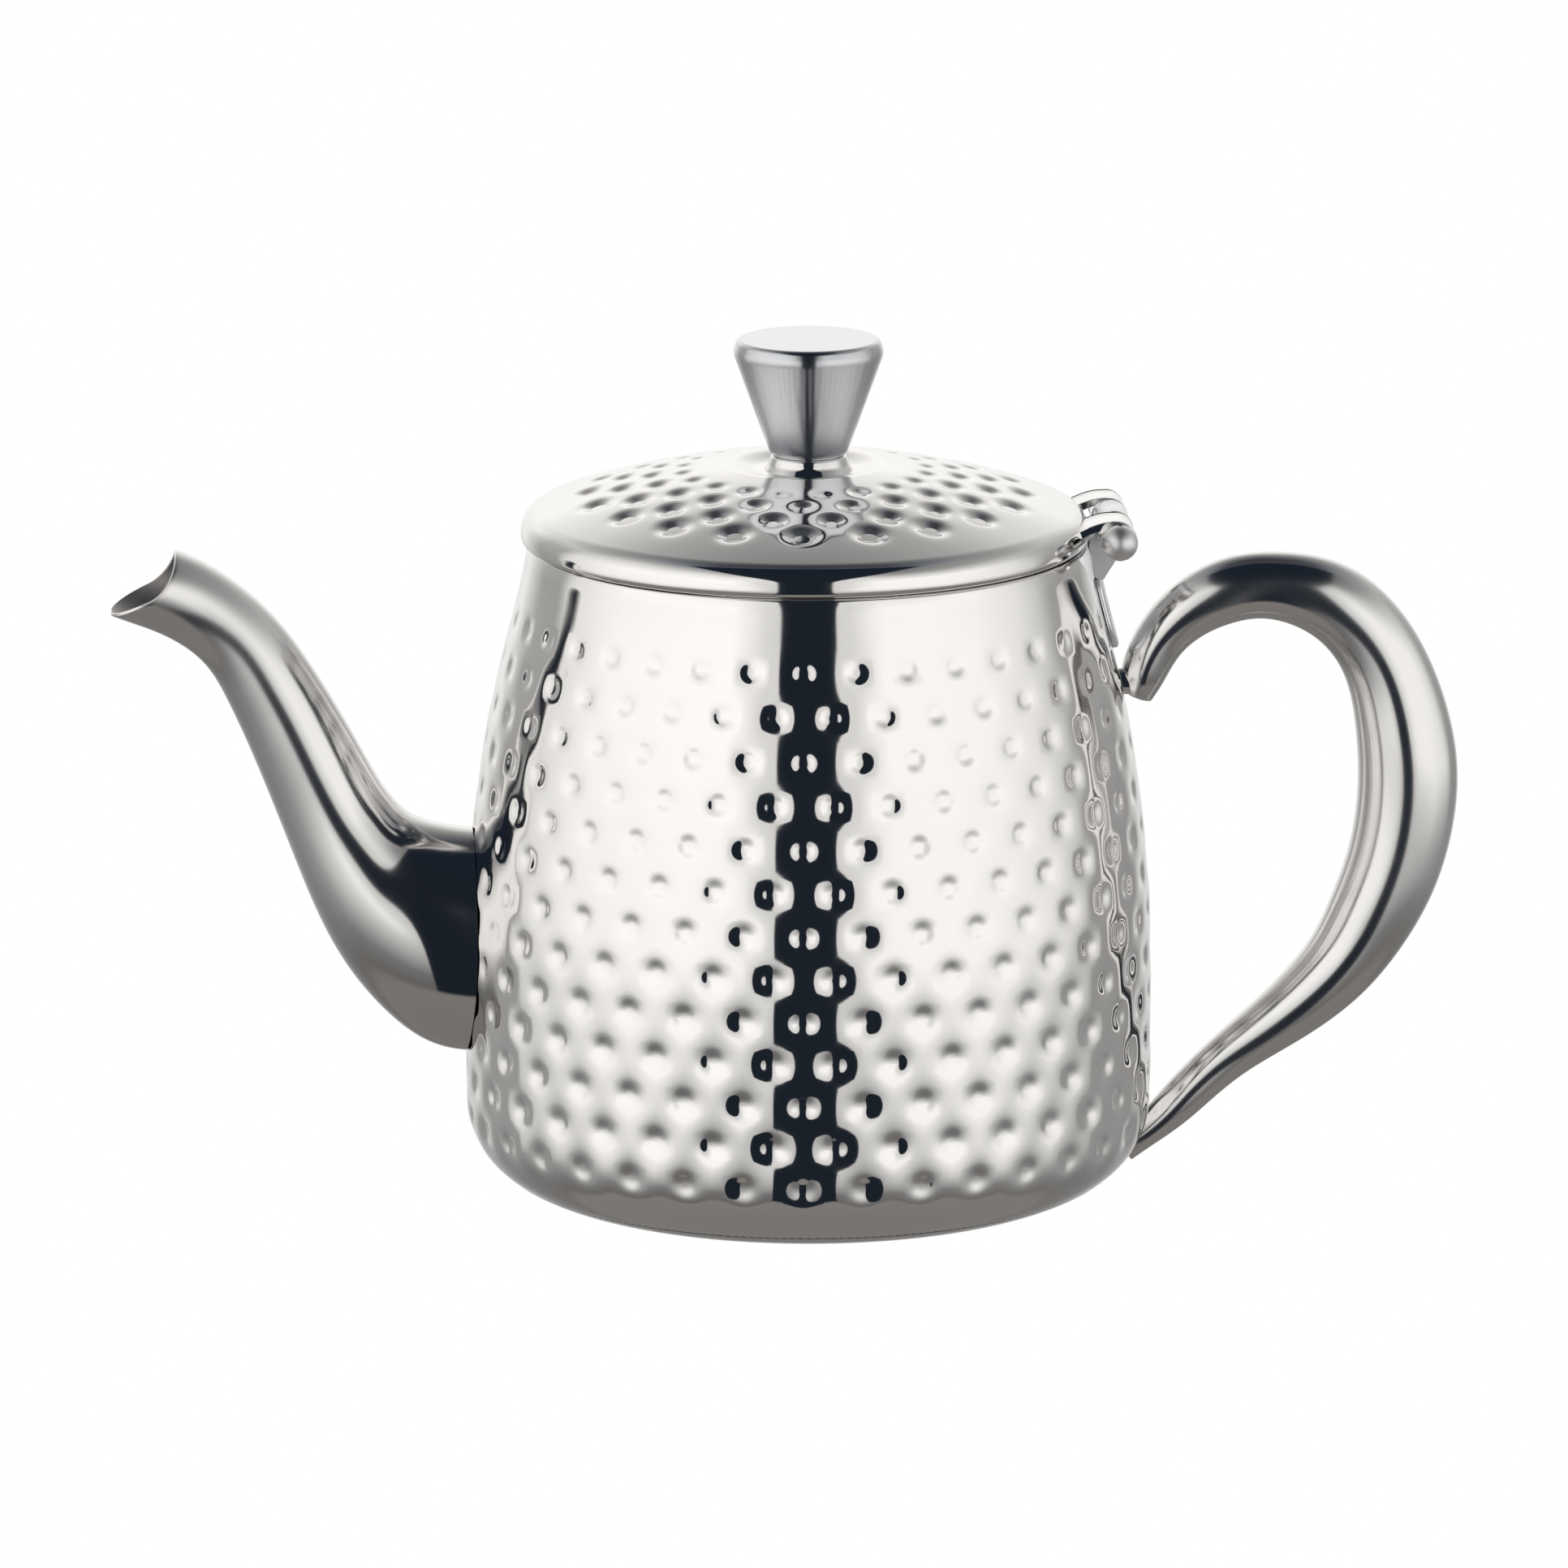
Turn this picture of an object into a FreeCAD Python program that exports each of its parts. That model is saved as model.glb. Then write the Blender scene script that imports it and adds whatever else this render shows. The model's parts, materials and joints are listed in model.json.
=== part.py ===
import FreeCAD, Part
import math
import os
import re
import Sketcher

# Teapot with a hinged lid and a lift-out tea infuser.  Millimetres, +Z up.  The origin is the centre of
# the foot ring on the resting plane, the pot's axis is Z, the handle is on +X and the spout on -X.

DIMENSIONS = {
    # sheet metal
    "wall": 0.8,
    "tube_wall": 0.7,
    # pot body: outside radius and height of each corner of the turned outline, and the arcs between
    "foot_radius": 44.6,
    "corner_arc": 14.5,
    "seam_radius": 52.9,
    "seam_height": 2.61,
    "hip_radius": 59.06,
    "hip_height": 14.5,
    "belly_radius": 58.95,
    "belly_height": 45.0,
    "belly_arc": 600.0,
    "shoulder_radius": 54.15,
    "shoulder_height": 85.0,
    "shoulder_arc": 221.0,
    "collar_radius": 51.05,
    "collar_height": 97.5,
    "collar_arc": 197.0,
    "mouth_radius": 48.2,
    "mouth_height": 111.0,
    "neck_arc": 102.0,
    # base pan
    "foot_inner_radius": 41.6,
    "foot_bend": 0.4,
    "recess_radius": 39.4,
    "recess_height": 1.4,
    # ring inside the mouth that carries the infuser
    "ledge_height": 101.0,
    "ledge_radius": 42.6,
    "ledge_leg": 4.0,
    "ledge_weld_inset": 0.5,
    "ledge_weld_taper": 0.55,
    # strainer holes punched behind the spout
    "strainer_hole_radius": 1.4,
    "strainer_pitch": 4.6,
    "strainer_centre_height": 43.0,
    # lid
    "lid_radius": 48.2,
    "lid_height": 113.33,
    "lid_curl": 1.5,
    "lid_shoulder_arc": 4.6,
    "lid_shoulder_radius": 44.9,
    "lid_shoulder_height": 117.5,
    "lid_dome_arc": 260.0,
    "lid_mid_radius": 25.0,
    "lid_mid_height": 122.95,
    "lid_crown_arc": 90.0,
    "lid_crown_radius": 14.0,
    "lid_crown_height": 124.85,
    "lid_dish_arc": 12.0,
    "lid_dish_radius": 8.5,
    "lid_dish_height": 124.1,
    # how far the corners of the lid's inside lean in and drop, as shares of the wall
    "lid_crown_lean": 0.13,
    "lid_mid_lean": 0.22,
    "lid_mid_drop": 0.975,
    "lid_shoulder_lean": 0.28,
    "lid_shoulder_drop": 0.96,
    "skirt_radius": 46.7,
    "skirt_bottom": 109.2,
    # knob, its collar, screw and washer
    "knob_collar_radius": 6.6,
    "knob_collar_flare": 0.6,
    "knob_groove_radius": 5.9,
    "knob_groove_width": 0.5,
    "knob_foot_height": 126.9,
    "knob_foot_radius": 6.1,
    "knob_foot_arc": 0.8,
    "knob_waist_radius": 6.8,
    "knob_waist_height": 127.5,
    "knob_brow_radius": 12.5,
    "knob_brow_height": 143.4,
    "knob_edge_arc": 2.3,
    "knob_edge_radius": 11.0,
    "knob_top_height": 147.0,
    "screw_radius": 2.0,
    "screw_hole_radius": 2.2,
    "screw_depth": 9.0,
    "screw_tip_gap": 0.55,
    "screw_head_radius": 3.8,
    "screw_head_height": 2.2,
    "washer_radius": 5.2,
    "washer_height": 0.6,
    # hinge
    "pin_x": 52.1,
    "pin_height": 114.3,
    "pin_radius": 1.25,
    "pin_clearance": 0.05,
    "knuckle_radius": 2.95,
    "knuckle_half_width": 5.3,
    "knuckle_gap": 0.25,
    "leaf_half_width": 12.65,
    "leaf_thickness": 1.0,
    "leaf_root_x": 42.0,
    "leaf_slot_x": 47.4,
    "web_neck_inner_x": 48.0,
    "web_neck_outer_x": 50.9,
    "web_neck_height": 105.6,
    "web_left_x": 48.6,
    "web_left_height": 111.9,
    "ball_radius": 3.0,
    "ball_offset": 15.7,
    "tongue_thickness": 1.5,
    "tongue_half_width": 6.3,
    "tongue_top": 106.2,
    "tongue_straight_bottom": 96.6,
    "tongue_bottom": 92.6,
    "tongue_tip_half_width": 2.4,
    "tongue_arc": 4.6,
    # handle ends
    "upper_plug_top": 86.4,
    "lower_plug_top": 8.6,
    "weld_neck_height": 86.6,
    "weld_neck_radius": 2.3,
    "weld_neck_depth": 3.0,
    "weld_neck_length": 2.0,
    "plug_reach": 10.0,
    # how far a cutting tool runs past what it cuts, and half its width
    "tool_reach": 30.0,
    "tool_half_width": 20.0,
    # infuser basket
    "basket_radius": 41.9,
    "basket_wall": 0.5,
    "basket_bottom": 26.0,
    "basket_rim_radius": 44.9,
    "basket_slot_width": 1.2,
    "basket_slot_bottom": 36.0,
    "basket_slot_top": 84.0,
    "basket_slots": 30,
    "floor_hole_radius": 1.5,
    "floor_hole_start": 8.0,
    "floor_hole_pitch": 9.5,
    "floor_columns": 10,
    "basket_collar": 0.4,
    "basket_collar_drop": 4.0,
    "tab_width": 16.0,
    "tab_height": 5.0,
    "tab_reach": 3.2,
    "tab_thickness": 1.0,
}

# Spout: where each cross-section meets the top line and the bottom line of the spout (x, z), and how
# wide the section is across, as a share of its height.
SPOUT_STATIONS = (
    ((-48.0, 61.6), (-48.0, 22.8), 0.72),
    ((-57.0, 61.9), (-57.6, 22.9), 0.72),
    ((-64.4, 63.1), (-67.6, 25.8), 0.74),
    ((-68.9, 65.0), (-78.2, 36.4), 0.81),
    ((-71.8, 68.0), (-85.0, 48.8), 0.90),
    ((-74.6, 72.3), (-89.8, 61.2), 0.97),
    ((-79.4, 81.2), (-95.2, 75.2), 0.97),
    ((-86.1, 92.4), (-99.3, 84.6), 0.97),
    ((-93.0, 101.2), (-103.5, 91.7), 0.97),
    ((-101.6, 108.1), (-109.6, 96.3), 0.97),
    ((-110.2, 111.9), (-115.4, 98.8), 0.97),
    ((-119.6, 113.4), (-121.6, 101.2), 0.97),
)
# Centre of the round cutter that shapes the pouring mouth, and the end of the lip.
MOUTH_CUT = {
    "spout_cut_x": -122.1,
    "spout_cut_height": 114.65,
    "spout_cut_radius": 14.05,
    "spout_lip_x": -119.2,
}

# Handle: where each cross-section meets the outside line and the inside line of the loop (x, z).
HANDLE_STATIONS = (
    ((54.6, 84.9), (59.2, 83.4)),
    ((53.9, 88.9), (61.2, 86.6)),
    ((56.6, 96.0), (64.0, 91.2)),
    ((62.3, 102.9), (68.2, 94.7)),
    ((70.6, 107.7), (73.4, 96.8)),
    ((80.7, 108.9), (79.6, 97.2)),
    ((93.4, 105.9), (87.0, 94.0)),
    ((104.4, 94.8), (92.2, 87.2)),
    ((110.6, 79.6), (94.3, 78.0)),
    ((112.0, 66.6), (94.8, 67.6)),
    ((109.9, 54.2), (93.4, 57.0)),
    ((105.0, 42.8), (90.4, 48.0)),
    ((96.3, 31.2), (86.0, 39.2)),
    ((85.2, 22.7), (77.6, 29.9)),
    ((74.8, 16.2), (69.6, 22.6)),
    ((66.4, 9.0), (62.6, 15.4)),
    ((60.2, 4.4), (57.0, 8.8)),
    ((56.2, 1.6), (53.4, 5.6)),
)
HANDLE_WIDTH = 0.93
FLOOR_HOLE_RINGS = 4

ALIAS = re.compile(r"[a-z][a-z_0-9]*")


def station_dimensions(prefix, stations):
    """Name the four coordinates of every cross-section of a swept tube."""
    named = {}
    for index, station in enumerate(stations):
        named["%s_outer_x_%d" % (prefix, index)] = station[0][0]
        named["%s_outer_z_%d" % (prefix, index)] = station[0][1]
        named["%s_inner_x_%d" % (prefix, index)] = station[1][0]
        named["%s_inner_z_%d" % (prefix, index)] = station[1][1]
    return named


def make_sheet(doc):
    """Put every driving dimension in a cell of its own, with an alias."""
    rows = dict(DIMENSIONS)
    rows.update(MOUTH_CUT)
    rows.update(station_dimensions("spout", SPOUT_STATIONS))
    rows.update(station_dimensions("handle", HANDLE_STATIONS))
    sheet = doc.addObject("Spreadsheet::Sheet", "dims")
    for row, (alias, size) in enumerate(rows.items(), start=1):
        sheet.set("A%d" % row, alias)
        sheet.set("B%d" % row, str(size))
        sheet.setAlias("B%d" % row, alias)
    doc.recompute()
    return sheet, rows


DOC = FreeCAD.newDocument("teapot")
SHEET, SIZES = make_sheet(DOC)


def formula(text):
    """Point each alias in a formula at its cell of the sheet."""
    return ALIAS.sub(lambda found: "dims." + found.group() if found.group() in SIZES else found.group(), text)


def value(text):
    """Work a formula out to a plain number."""
    return float(SHEET.evalExpression(formula(text)))


def bind(thing, prop, text):
    thing.setExpression(prop, formula(text))


def new_body(name):
    body = DOC.addObject("PartDesign::Body", name)
    body.Label = name
    return body


def origin_part(body, role):
    return next(feature for feature in body.Origin.OriginFeatures if feature.Role == role)


def new_sketch(body, name, plane):
    sketch = body.newObject("Sketcher::SketchObject", name)
    sketch.AttachmentSupport = [(origin_part(body, plane), "")]
    sketch.MapMode = "FlatFace"
    return sketch


def fix(sketch, geometry, point, across, up):
    """Hold a point of the sketch at two dimensions from the sketch's origin."""
    for kind, text in (("DistanceX", across), ("DistanceY", up)):
        index = sketch.addConstraint(Sketcher.Constraint(kind, -1, 1, geometry, point, value(text)))
        bind(sketch, "Constraints[%d]" % index, text)


def arc_between(start, end, radius, turn):
    """Short arc from start to end; turn is 1 for anticlockwise and -1 for clockwise."""
    chord = end - start
    reach = math.sqrt(max(radius ** 2 - (chord.Length / 2) ** 2, 0.0))
    side = FreeCAD.Vector(-chord.y, chord.x, 0).normalize() * reach * turn
    centre = (start + end) / 2 + side
    angles = [math.atan2(spot.y - centre.y, spot.x - centre.x) for spot in (start, end)]
    first, last = angles if turn > 0 else reversed(angles)
    if last < first:
        last += 2 * math.pi
    return Part.ArcOfCircle(Part.Circle(centre, FreeCAD.Vector(0, 0, 1), radius), first, last)


def outline(sketch, corners):
    """Closed outline.  A corner is (across, up) after a straight edge, or (across, up, radius, turn)."""
    spots = [FreeCAD.Vector(value(corner[0]), value(corner[1]), 0) for corner in corners]
    ends = []
    for index, corner in enumerate(corners):
        start = spots[index - 1]
        end = spots[index]
        if len(corner) == 2:
            edge = sketch.addGeometry(Part.LineSegment(start, end), False)
            ends.append((edge, 1, 2))
        else:
            edge = sketch.addGeometry(arc_between(start, end, value(corner[2]), corner[3]), False)
            ends.append((edge, 1, 2) if corner[3] > 0 else (edge, 2, 1))
    for index, (edge, first, last) in enumerate(ends):
        following = ends[(index + 1) % len(ends)]
        sketch.addConstraint(Sketcher.Constraint("Coincident", edge, last, following[0], following[1]))
        fix(sketch, edge, last, corners[index][0], corners[index][1])
        if len(corners[index]) > 2:
            bend = sketch.addConstraint(Sketcher.Constraint("Radius", edge, value(corners[index][2])))
            bind(sketch, "Constraints[%d]" % bend, corners[index][2])


def circles(sketch, spots, radius):
    """Round holes at (across, up) formulas."""
    for across, up in spots:
        middle = FreeCAD.Vector(value(across), value(up), 0)
        ring = sketch.addGeometry(Part.Circle(middle, FreeCAD.Vector(0, 0, 1), value(radius)), False)
        fix(sketch, ring, 3, across, up)
        size = sketch.addConstraint(Sketcher.Constraint("Radius", ring, value(radius)))
        bind(sketch, "Constraints[%d]" % size, radius)


def turn_profile(body, name, corners, kind="PartDesign::Revolution"):
    """Turn an outline in the XZ plane about the Z axis, to add or (as a Groove) to take away."""
    sketch = new_sketch(body, name + "_outline", "XZ_Plane")
    outline(sketch, corners)
    feature = body.newObject(kind, name)
    feature.Profile = sketch
    feature.ReferenceAxis = (sketch, ["V_Axis"])
    feature.Angle = 360.0
    body.Tip = feature
    return feature


def turned(name, corners):
    body = new_body(name)
    turn_profile(body, name + "_turned", corners)
    return body


def pad(body, name, plane, corners, width):
    """Pad an outline evenly to both sides of its plane."""
    sketch = new_sketch(body, name + "_outline", plane)
    outline(sketch, corners)
    feature = body.newObject("PartDesign::Pad", name)
    feature.Profile = sketch
    feature.SideType = "Symmetric"
    bind(feature, "Length", width)
    body.Tip = feature
    return feature


def pocket(body, name, plane, draw, depth, symmetric=False):
    """Cut the sketch that draw() fills in, and make sure that the cut takes something away."""
    DOC.recompute()
    before = body.Shape.Volume
    sketch = new_sketch(body, name + "_outline", plane)
    draw(sketch)
    feature = body.newObject("PartDesign::Pocket", name)
    feature.Profile = sketch
    feature.Type = "Length"
    if symmetric:
        feature.SideType = "Symmetric"
    bind(feature, "Length", depth)
    body.Tip = feature
    DOC.recompute()
    if body.Shape.Volume >= before:
        raise ValueError(name + " cuts nothing")
    return feature


def polar(body, name, feature, count):
    """Repeat a feature evenly round the Z axis."""
    pattern = body.newObject("PartDesign::PolarPattern", name)
    pattern.Originals = [feature]
    pattern.Axis = (origin_part(body, "Z_Axis"), [""])
    pattern.Angle = 360.0
    bind(pattern, "Occurrences", count)
    body.Tip = pattern
    DOC.recompute()
    return pattern


# ---------------------------------------------------------------- pot

BODY_OUTLINE = (
    ("hip_radius", "hip_height", "corner_arc", 1),
    ("belly_radius", "belly_height", "belly_arc", 1),
    ("shoulder_radius", "shoulder_height", "shoulder_arc", 1),
    ("collar_radius", "collar_height", "collar_arc", 1),
    ("mouth_radius", "mouth_height", "neck_arc", -1),
)
# The seam's corner on the inside of the wall, one wall nearer to the centre of the corner's arc.
SEAM_INSIDE = ("seam_radius + (foot_radius - seam_radius) * wall / corner_arc",
               "seam_height + (corner_arc - seam_height) * wall / corner_arc")


def offset_outline(steps, distance):
    """The same turned outline a constant distance further out (or in, when the distance is negative)."""
    moved = []
    for across, up, radius, turn in steps:
        sign = "+" if turn > 0 else "-"
        moved.append((across + " + " + distance, up, "%s %s (%s)" % (radius, sign, distance), turn))
    return tuple(moved)


def reversed_outline(steps, start):
    """The same outline walked from its last corner back to its start."""
    backwards = []
    for index in range(len(steps) - 1, -1, -1):
        across, up = steps[index - 1][:2] if index else start
        backwards.append((across, up, steps[index][2], -steps[index][3]))
    return tuple(backwards)


def make_body_shell():
    inside = offset_outline(BODY_OUTLINE, "-wall")
    corners = (("seam_radius", "seam_height"),) + BODY_OUTLINE
    corners += ((inside[-1][0], inside[-1][1]),) + reversed_outline(inside, SEAM_INSIDE)
    body = turned("body_shell", corners)
    spots = strainer_spots()
    pocket(body, "strainer", "YZ_Plane", lambda sketch: circles(sketch, spots, "strainer_hole_radius"),
           "hip_radius + tool_reach")


def strainer_spots():
    """Hexagon of holes, with rows of 3, 4, 5, 4 and 3."""
    spots = []
    for row, count in ((-2, 3), (-1, 4), (0, 5), (1, 4), (2, 3)):
        for place in range(count):
            across = "strainer_pitch * %.1f" % (place - (count - 1) / 2)
            up = "strainer_centre_height + strainer_pitch * %.3f" % (row * math.sqrt(3) / 2)
            spots.append((across, up))
    return spots


def make_base_pan():
    turned("base_pan", (
        ("0", "recess_height"),
        ("recess_radius", "recess_height"),
        ("foot_inner_radius", "0"),
        ("foot_radius", "0"),
        ("seam_radius", "seam_height", "corner_arc", 1),
        SEAM_INSIDE,
        ("foot_radius", "wall", "corner_arc - wall", -1),
        ("foot_inner_radius + foot_bend", "wall"),
        ("recess_radius + foot_bend", "recess_height + wall"),
        ("0", "recess_height + wall"),
    ))


def make_mouth_ring():
    """Ledge with a down-turned leg, spot-welded inside the neck.  The infuser's rim rests on it."""
    root = "collar_radius - wall - ledge_weld_inset"
    turned("mouth_ring", (
        ("ledge_radius", "ledge_height - wall"),
        (root + " - wall", "ledge_height - wall"),
        (root + " - wall", "ledge_height - ledge_leg"),
        (root, "ledge_height - ledge_leg"),
        (root + " - ledge_weld_taper", "ledge_height"),
        ("ledge_radius", "ledge_height"),
    ))


# ---------------------------------------------------------------- swept tubes: spout and handle

def section(name, prefix, index, width_share, skin):
    """Ellipse that spans the tube from its outer line to its inner line, less the skin on each side."""
    across = "(%s_outer_x_%d - %s_inner_x_%d)" % (prefix, index, prefix, index)
    up = "(%s_outer_z_%d - %s_inner_z_%d)" % (prefix, index, prefix, index)
    half = "sqrt(%s ^ 2 + %s ^ 2) / 2" % (across, up)
    ring = DOC.addObject("Part::Ellipse", "%s_%d" % (name, index))
    ring.Placement = FreeCAD.Placement(FreeCAD.Vector(), FreeCAD.Rotation(FreeCAD.Vector(0, 1, 0), 1.0))
    bind(ring, "Placement.Base.x", "(%s_outer_x_%d + %s_inner_x_%d) / 2" % (prefix, index, prefix, index))
    bind(ring, "Placement.Base.z", "(%s_outer_z_%d + %s_inner_z_%d) / 2" % (prefix, index, prefix, index))
    bind(ring, "Placement.Rotation.Angle", "-atan2(%s; %s)" % (up, across))
    bind(ring, "MinorRadius", "%s * %s - %s" % (half, width_share, skin))
    bind(ring, "MajorRadius", "%s - %s" % (half, skin))
    return ring


def loft(name, prefix, width_shares, skin):
    tube = DOC.addObject("Part::Loft", name)
    tube.Sections = [section(name + "_ring", prefix, index, share, skin)
                     for index, share in enumerate(width_shares)]
    tube.Solid = True
    tube.Ruled = False
    return tube


def cut(name, base, tool):
    piece = DOC.addObject("Part::Cut", name)
    piece.Base = base
    piece.Tool = tool
    piece.Label = name
    return piece


def common(name, first, second):
    piece = DOC.addObject("Part::Common", name)
    piece.Base = first
    piece.Tool = second
    piece.Label = name
    return piece


def fuse(name, pieces):
    piece = DOC.addObject("Part::MultiFuse", name)
    piece.Shapes = pieces
    piece.Label = name
    return piece


def block(name, corner, size):
    """Box from its lowest corner, both as formulas."""
    box = DOC.addObject("Part::Box", name)
    for axis, text in zip("xyz", corner):
        bind(box, "Placement.Base." + axis, text)
    for side, text in zip(("Length", "Width", "Height"), size):
        bind(box, side, text)
    return box


def y_cylinder(name, x, z, radius, half_width):
    """Cylinder along Y, centred on the XZ plane."""
    rod = DOC.addObject("Part::Cylinder", name)
    rod.Placement.Rotation = FreeCAD.Rotation(FreeCAD.Vector(1, 0, 0), 90)
    bind(rod, "Placement.Base.x", x)
    bind(rod, "Placement.Base.y", half_width)
    bind(rod, "Placement.Base.z", z)
    bind(rod, "Radius", radius)
    bind(rod, "Height", "2 * (%s)" % half_width)
    return rod


def pot_blank():
    """Everything inside the pot's outer surface, as a tool to fit other pieces to the wall."""
    corners = (("0", "0"), ("foot_radius", "0"), ("seam_radius", "seam_height", "corner_arc", 1))
    return turned("pot_blank", corners + BODY_OUTLINE + (("0", "mouth_height"),))


def split_halves(prefix, shell):
    """The two pressed halves of a hollow tube, which meet on the XZ plane."""
    side = "2 * hip_radius"
    for name, start in (("%s_front_half" % prefix, "-(%s)" % side), ("%s_rear_half" % prefix, "0")):
        keep = block(name + "_keep", ("-2 * (%s)" % side, start, "-tool_reach"),
                     ("4 * (%s)" % side, side, "mouth_height + 2 * tool_reach"))
        common(name, shell, keep)


def make_spout(blank):
    shares = [station[2] for station in SPOUT_STATIONS]
    outside = loft("spout_outside", "spout", shares, "0")
    inside = loft("spout_inside", "spout", shares, "tube_wall")
    hollow = cut("spout_hollow", outside, inside)
    on_wall = cut("spout_on_wall", hollow, blank)
    cutter = y_cylinder("mouth_cutter", "spout_cut_x", "spout_cut_height", "spout_cut_radius",
                        "tool_half_width")
    end = block("lip_cutter",
                ("spout_lip_x - tool_reach", "-tool_half_width", "spout_cut_height - tool_reach"),
                ("tool_reach", "2 * tool_half_width", "2 * tool_reach"))
    shaped = cut("spout_shell", on_wall, fuse("mouth_tool", [cutter, end]))
    split_halves("spout", shaped)


def make_handle(blank):
    shares = [HANDLE_WIDTH] * len(HANDLE_STATIONS)
    outside = loft("handle_outside", "handle", shares, "0")
    inside = loft("handle_inside", "handle", shares, "tube_wall")
    hollow = cut("handle_hollow", outside, inside)
    split_halves("handle", cut("handle_shell", hollow, blank))
    return outside, inside


def x_cylinder(name, height, radius, start, end):
    """Cylinder along X at y = 0."""
    rod = DOC.addObject("Part::Cylinder", name)
    rod.Placement.Rotation = FreeCAD.Rotation(FreeCAD.Vector(0, 1, 0), 90)
    bind(rod, "Placement.Base.x", start)
    bind(rod, "Placement.Base.z", height)
    bind(rod, "Radius", radius)
    bind(rod, "Height", "(%s) - (%s)" % (end, start))
    return rod


def make_handle_ends(blank, outside, inside):
    """Plugs that close the hollow tube, and the short weld neck between its upper end and the wall."""
    size = ("hip_radius + plug_reach", "2 * tool_half_width", "tool_reach")
    upper = block("upper_plug_keep", ("0", "-tool_half_width", "upper_plug_top - tool_reach"), size)
    common("handle_upper_plug", inside, upper)
    lower = block("lower_plug_keep", ("0", "-tool_half_width", "lower_plug_top - tool_reach"), size)
    cut("handle_lower_plug", common("lower_plug_blank", inside, lower), blank)
    neck = x_cylinder("neck_rod", "weld_neck_height", "weld_neck_radius",
                      "shoulder_radius - weld_neck_depth", "shoulder_radius + weld_neck_length")
    cut("handle_weld_neck", cut("neck_on_wall", neck, blank), outside)


# ---------------------------------------------------------------- hinge

def barrel_arcs(first_quarter, quarters):
    """Clockwise quarter arcs of the knuckle's outline, from one of its four extreme points."""
    points = (("pin_x", "pin_height + knuckle_radius"), ("pin_x + knuckle_radius", "pin_height"),
              ("pin_x", "pin_height - knuckle_radius"), ("pin_x - knuckle_radius", "pin_height"))
    return tuple(points[(first_quarter + step) % 4] + ("knuckle_radius", -1) for step in range(quarters))


def pin_hole(sketch, radius):
    circles(sketch, (("pin_x", "pin_height"),), radius)


def make_hinge_bracket(blank):
    """Tongue that hugs the pot's wall, with a web up to the middle knuckle."""
    prism = new_body("tongue_prism")
    pad(prism, "tongue", "YZ_Plane", (
        ("-tongue_half_width", "tongue_top"),
        ("-tongue_half_width", "tongue_straight_bottom"),
        ("-tongue_tip_half_width", "tongue_bottom", "tongue_arc", 1),
        ("tongue_tip_half_width", "tongue_bottom"),
        ("tongue_half_width", "tongue_straight_bottom", "tongue_arc", 1),
        ("tongue_half_width", "tongue_top"),
    ), "4 * hip_radius")
    upper = BODY_OUTLINE[3:]
    start = BODY_OUTLINE[2][:2]
    outer = offset_outline(upper, "tongue_thickness")
    outer_start = (start[0] + " + tongue_thickness", start[1])
    band = turned("tongue_band", (outer_start,) + outer + (upper[-1][:2],) + reversed_outline(upper, start))
    right = block("tongue_side", ("0", "-tool_half_width", "0"),
                  ("2 * hip_radius", "2 * tool_half_width", "2 * hip_radius"))
    tongue = common("tongue_piece", common("tongue_curved", prism, band), right)
    web = new_body("hinge_web")
    slope = "knuckle_radius * sqrt(0.5)"
    pad(web, "web", "XZ_Plane", (
        ("web_neck_inner_x", "web_neck_height"),
        ("web_left_x", "web_left_height"),
        ("pin_x - knuckle_radius", "pin_height"),
    ) + barrel_arcs(0, 2) + (
        ("pin_x + " + slope, "pin_height - " + slope, "knuckle_radius", -1),
        ("web_neck_outer_x", "web_neck_height"),
    ), "2 * knuckle_half_width")
    bore = y_cylinder("bracket_bore", "pin_x", "pin_height", "pin_radius + pin_clearance",
                      "tool_half_width")
    whole = fuse("bracket_blank", [tongue, cut("web_on_wall", web, blank)])
    cut("hinge_bracket", whole, bore)


def make_hinge_leaf():
    """Lid's half of the hinge: two straps from the lid's shoulder to the two outer knuckles."""
    body = new_body("hinge_leaf")
    top = "pin_height + knuckle_radius"
    underside = top + " - leaf_thickness"
    notch = "sqrt(knuckle_radius ^ 2 - (knuckle_radius - leaf_thickness) ^ 2)"
    pad(body, "leaf", "XZ_Plane", (
        ("leaf_root_x", underside),
        ("leaf_root_x", top),
        ("pin_x", top),
    ) + barrel_arcs(1, 3) + (
        ("pin_x - " + notch, underside, "knuckle_radius", -1),
    ), "2 * leaf_half_width")
    turn_profile(body, "lid_seat", (("0", "lid_height - lid_curl"), LID_START) + LID_OUTLINE
                 + (("0", "lid_dish_height"),), "PartDesign::Groove")
    slot = (
        ("leaf_slot_x", "pin_height - 2 * knuckle_radius"),
        ("pin_x + 2 * knuckle_radius", "pin_height - 2 * knuckle_radius"),
        ("pin_x + 2 * knuckle_radius", "pin_height + 2 * knuckle_radius"),
        ("leaf_slot_x", "pin_height + 2 * knuckle_radius"),
    )
    pocket(body, "knuckle_slot", "XZ_Plane", lambda sketch: outline(sketch, slot),
           "2 * (knuckle_half_width + knuckle_gap)", symmetric=True)
    pocket(body, "leaf_bore", "XZ_Plane", lambda sketch: pin_hole(sketch, "pin_radius"),
           "4 * leaf_half_width", symmetric=True)


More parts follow.
